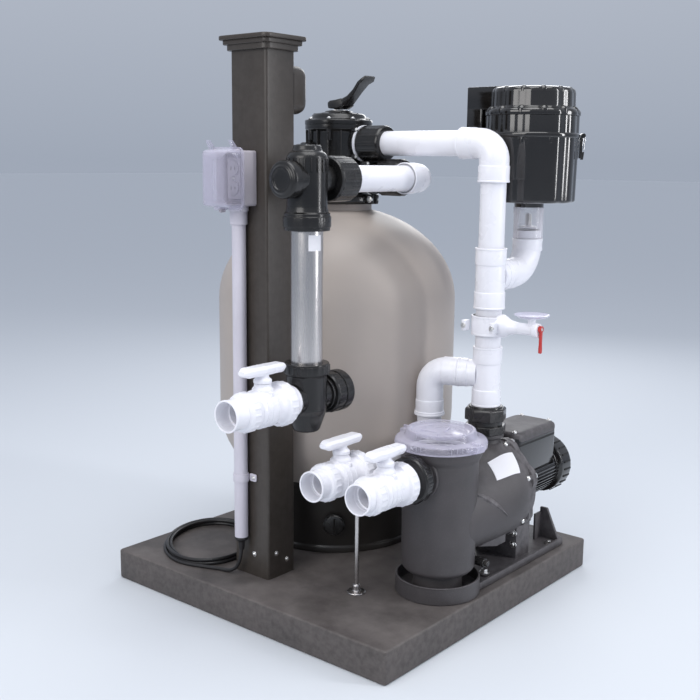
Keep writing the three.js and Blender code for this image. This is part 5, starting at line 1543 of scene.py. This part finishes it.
arc = [(POT.x + SADDLE_R * cos(a), WET_Z + SADDLE_R * sin(a))
       for a in (pi * (1.16 + 0.68 * k / 16) for k in range(17))]
cradle = [(x, z) for x, z in arc if z < 0.2235]
outline = [(POT.x - 0.060, 0.2235), *cradle, (POT.x + 0.060, 0.2235), (POT.x + 0.060, low + 0.004),
           (POT.x - 0.060, low + 0.004)]
shape.slab([Vector((x, 0.152, z)) for x, z in outline], 0.064, 0.002)
shape.piece("base_moulding", "pump_base", slot="pump_plastic")
print("pump done")

# %% [markdown]
# The air blower is a glossy drum on a clear check valve. Its shell has shallow flutes that catch
# tall thin highlights, a rolled joint, a lower tier and a smaller upper tier, an intake box at the
# back, and one wire latch.

# %% Blower and check valve
drum, cap_on, latch = at["blower_housing"], at["blower_cap"], at["blower_latch"]
BLOWER = Vector((drum.mid.x, drum.mid.y, 0))
low, joint = drum.low.z, drum.high.z
flutes = ribs(12, 0.0045, 3)
shape = Shape(gloss_black, bolt_steel)
DRUM_LOW = low + 0.012
shape.turn(BLOWER, Z, [(0, DRUM_LOW), (0.100, DRUM_LOW, 0.003), (0.109, DRUM_LOW + 0.003, 0.005),
                       (0.1115, 1.112, 0.003),
                       (0.1115, joint, 0.001), (0, joint)], count=160, wave=flutes)
shape.turn(BLOWER, Z, [(0.100, 1.118), (0.1115, 1.118, 0.001), (0.1135, 1.121, 0.002), (0.1135, 1.127, 0.002),
                       (0.1115, 1.130, 0.001),
                       (0.100, 1.130)], count=96, closed=True)
shape.turn(BLOWER, Z, [(0.028, low), (0.0355, low, 0.001), (0.036, DRUM_LOW, 0.002),
                       (0.048, DRUM_LOW + 0.001), (0.028, DRUM_LOW + 0.002)],
           closed=True)
for i in range(10):
    a = tau * i / 10
    foot = BLOWER + Vector((cos(a), sin(a), 0)) * 0.105 + Z * 1.104
    shape.rod(foot, Z, 0, 0.016, 0.006, 0.002, 0, 16)
shape.piece("blower_drum", "blower_housing", slot="black_fitting")

shape = Shape(gloss_black)
low, top = cap_on.low.z, cap_on.high.z
under = joint + 0.0003
shape.turn(BLOWER, Z, [(0, under), (0.1135, under, 0.001), (0.1140, under + 0.008, 0.003),
                       (0.1110, under + 0.014, 0.004),
                       (0.1010, under + 0.018, 0.004), (0.1000, top - 0.016, 0.003),
                       (0.0970, top - 0.009, 0.003), (0.0880, top - 0.006, 0.003),
                       (0.060, top - 0.004, 0), (0, top - 0.004)], count=160, wave=ribs(12, 0.0036, 3))
for i in range(12):
    a = tau * (i + 0.5) / 12
    way = Vector((cos(a), sin(a), 0))
    shape.turn(BLOWER + way * 0.099 + Z * (under + 0.004), Z,
               [(0, 0), (0.012, 0), (0.012, 0.010, 0.004), (0.006, 0.017, 0.005), (0, 0.018)],
               count=24)
    shape.turn(BLOWER + way * 0.086 + Z * (top - 0.019), Z,
               [(0, 0), (0.011, 0), (0.011, 0.008, 0.004), (0.005, 0.0135, 0.004), (0, 0.0142)],
               count=24)
box_low = Vector((cap_on.low.x, BLOWER.y - 0.038, low + 0.002))
box_low.x += 0.006
box_high = Vector((BLOWER.x - 0.075, BLOWER.y + 0.038, top - 0.001))
shape.box((box_low.x, box_low.y, under + 0.016), (BLOWER.x - 0.060, box_high.y, box_high.z), 0.006, 0.002, Z)
shape.box(box_low, (BLOWER.x - 0.1185, box_high.y, under + 0.020), 0.006, 0.002, Z)
for k in range(7):
    z = low + 0.014 + k * 0.012
    shape.box((box_low.x, box_low.y + 0.008, z), (box_low.x + 0.004, box_high.y - 0.008, z + 0.005), 0.002,
              0.001, Z)
shape.piece("blower_crown", "blower_cap", slot="black_fitting")

way = Vector((latch.mid.x - BLOWER.x, latch.mid.y - BLOWER.y, 0)).normalized()
side = Z.cross(way)
inner = 0.116
shape = Shape(black_fitting, bolt_steel)
foot = BLOWER + way * inner
low, top = latch.low.z, latch.high.z
shape.slab([foot - side * 0.012 + Z * (low + 0.004), foot - side * 0.012 + Z * (top - 0.010),
            foot + side * 0.012 + Z * (top - 0.010),
            foot + side * 0.012 + Z * (low + 0.004)], -0.0055, 0.0015)
shape.slab([foot + way * 0.004 - side * 0.009 + Z * (low + 0.001),
            foot + way * 0.006 - side * 0.009 + Z * (low + 0.020),
            foot + way * 0.006 + side * 0.009 + Z * (low + 0.020),
            foot + way * 0.004 + side * 0.009 + Z * (low + 0.001)], -0.005, 0.0015)
shape.rod(BLOWER + way * (inner + 0.0065) + Z * (top - 0.006), side, -0.0135, 0.0135, 0.0055, 0.001, 0, 20)
for half in (-1, 1):
    loop = [foot + way * 0.008 + side * half * 0.011 + Z * (low + 0.024),
            foot + way * 0.011 + side * half * 0.011 + Z * (top - 0.016),
            foot + way * 0.008 + side * half * 0.009 + Z * (top - 0.002)]
    shape.sweep(loop, 0.0014, paint=1, count=10)
shape.piece("latch_strap", "blower_latch", body="latch", slot="black_fitting")

tube_at, disc = at["check_valve_body"], at["check_valve_disc"]
low, top, CLEAR_R = tube_at.low.z, tube_at.high.z, tube_at.size.x / 2
shape = Shape(clear_tube, white_pvc, seal_and_opening_shade)
shape.pipe(blower_at, Z, low, low + 0.020, CLEAR_R - 0.0044, 0.0262, 0.0006, 1)
shape.pipe(blower_at, Z, low + 0.020, low + 0.0215, CLEAR_R - 0.0043, 0.028, 0.0004, 2)
shape.turn(blower_at, Z, [(CLEAR_R - 0.004, low), (CLEAR_R - 0.0008, low, 0.001),
                          (CLEAR_R - 0.0008, top - 0.016, 0.001),
                          (CLEAR_R, top - 0.013, 0.001), (CLEAR_R, top, 0.001),
                          (CLEAR_R - 0.004, top, 0.001)], count=64, closed=True)
shape.piece("clear_tube", "check_valve_body", slot="clear_plastic")
shape = Shape(white_pvc, bolt_steel)
low, top = disc.low.z, disc.high.z
shape.turn(blower_at, Z, [(0, low), (0.021, low, 0.001), (0.021, low + 0.004, 0.001),
                          (0.012, low + 0.005, 0.001), (0, low + 0.005)])
shape.rod(blower_at, Z, low + 0.004, top, 0.0048, 0.001, 0, 24)
spring = [blower_at + Vector((0.0085 * cos(t * 1.05), 0.0085 * sin(t * 1.05),
                              low + 0.006 + 0.00052 * t)) for t in range(54)]
shape.sweep(spring, 0.0011, paint=1, count=8)
shape.piece("check_disc_moulding", "check_valve_disc", body="check_disc", slot="white_pvc")
print("blower done")

# %% Finish
print("faces", sum(counted))
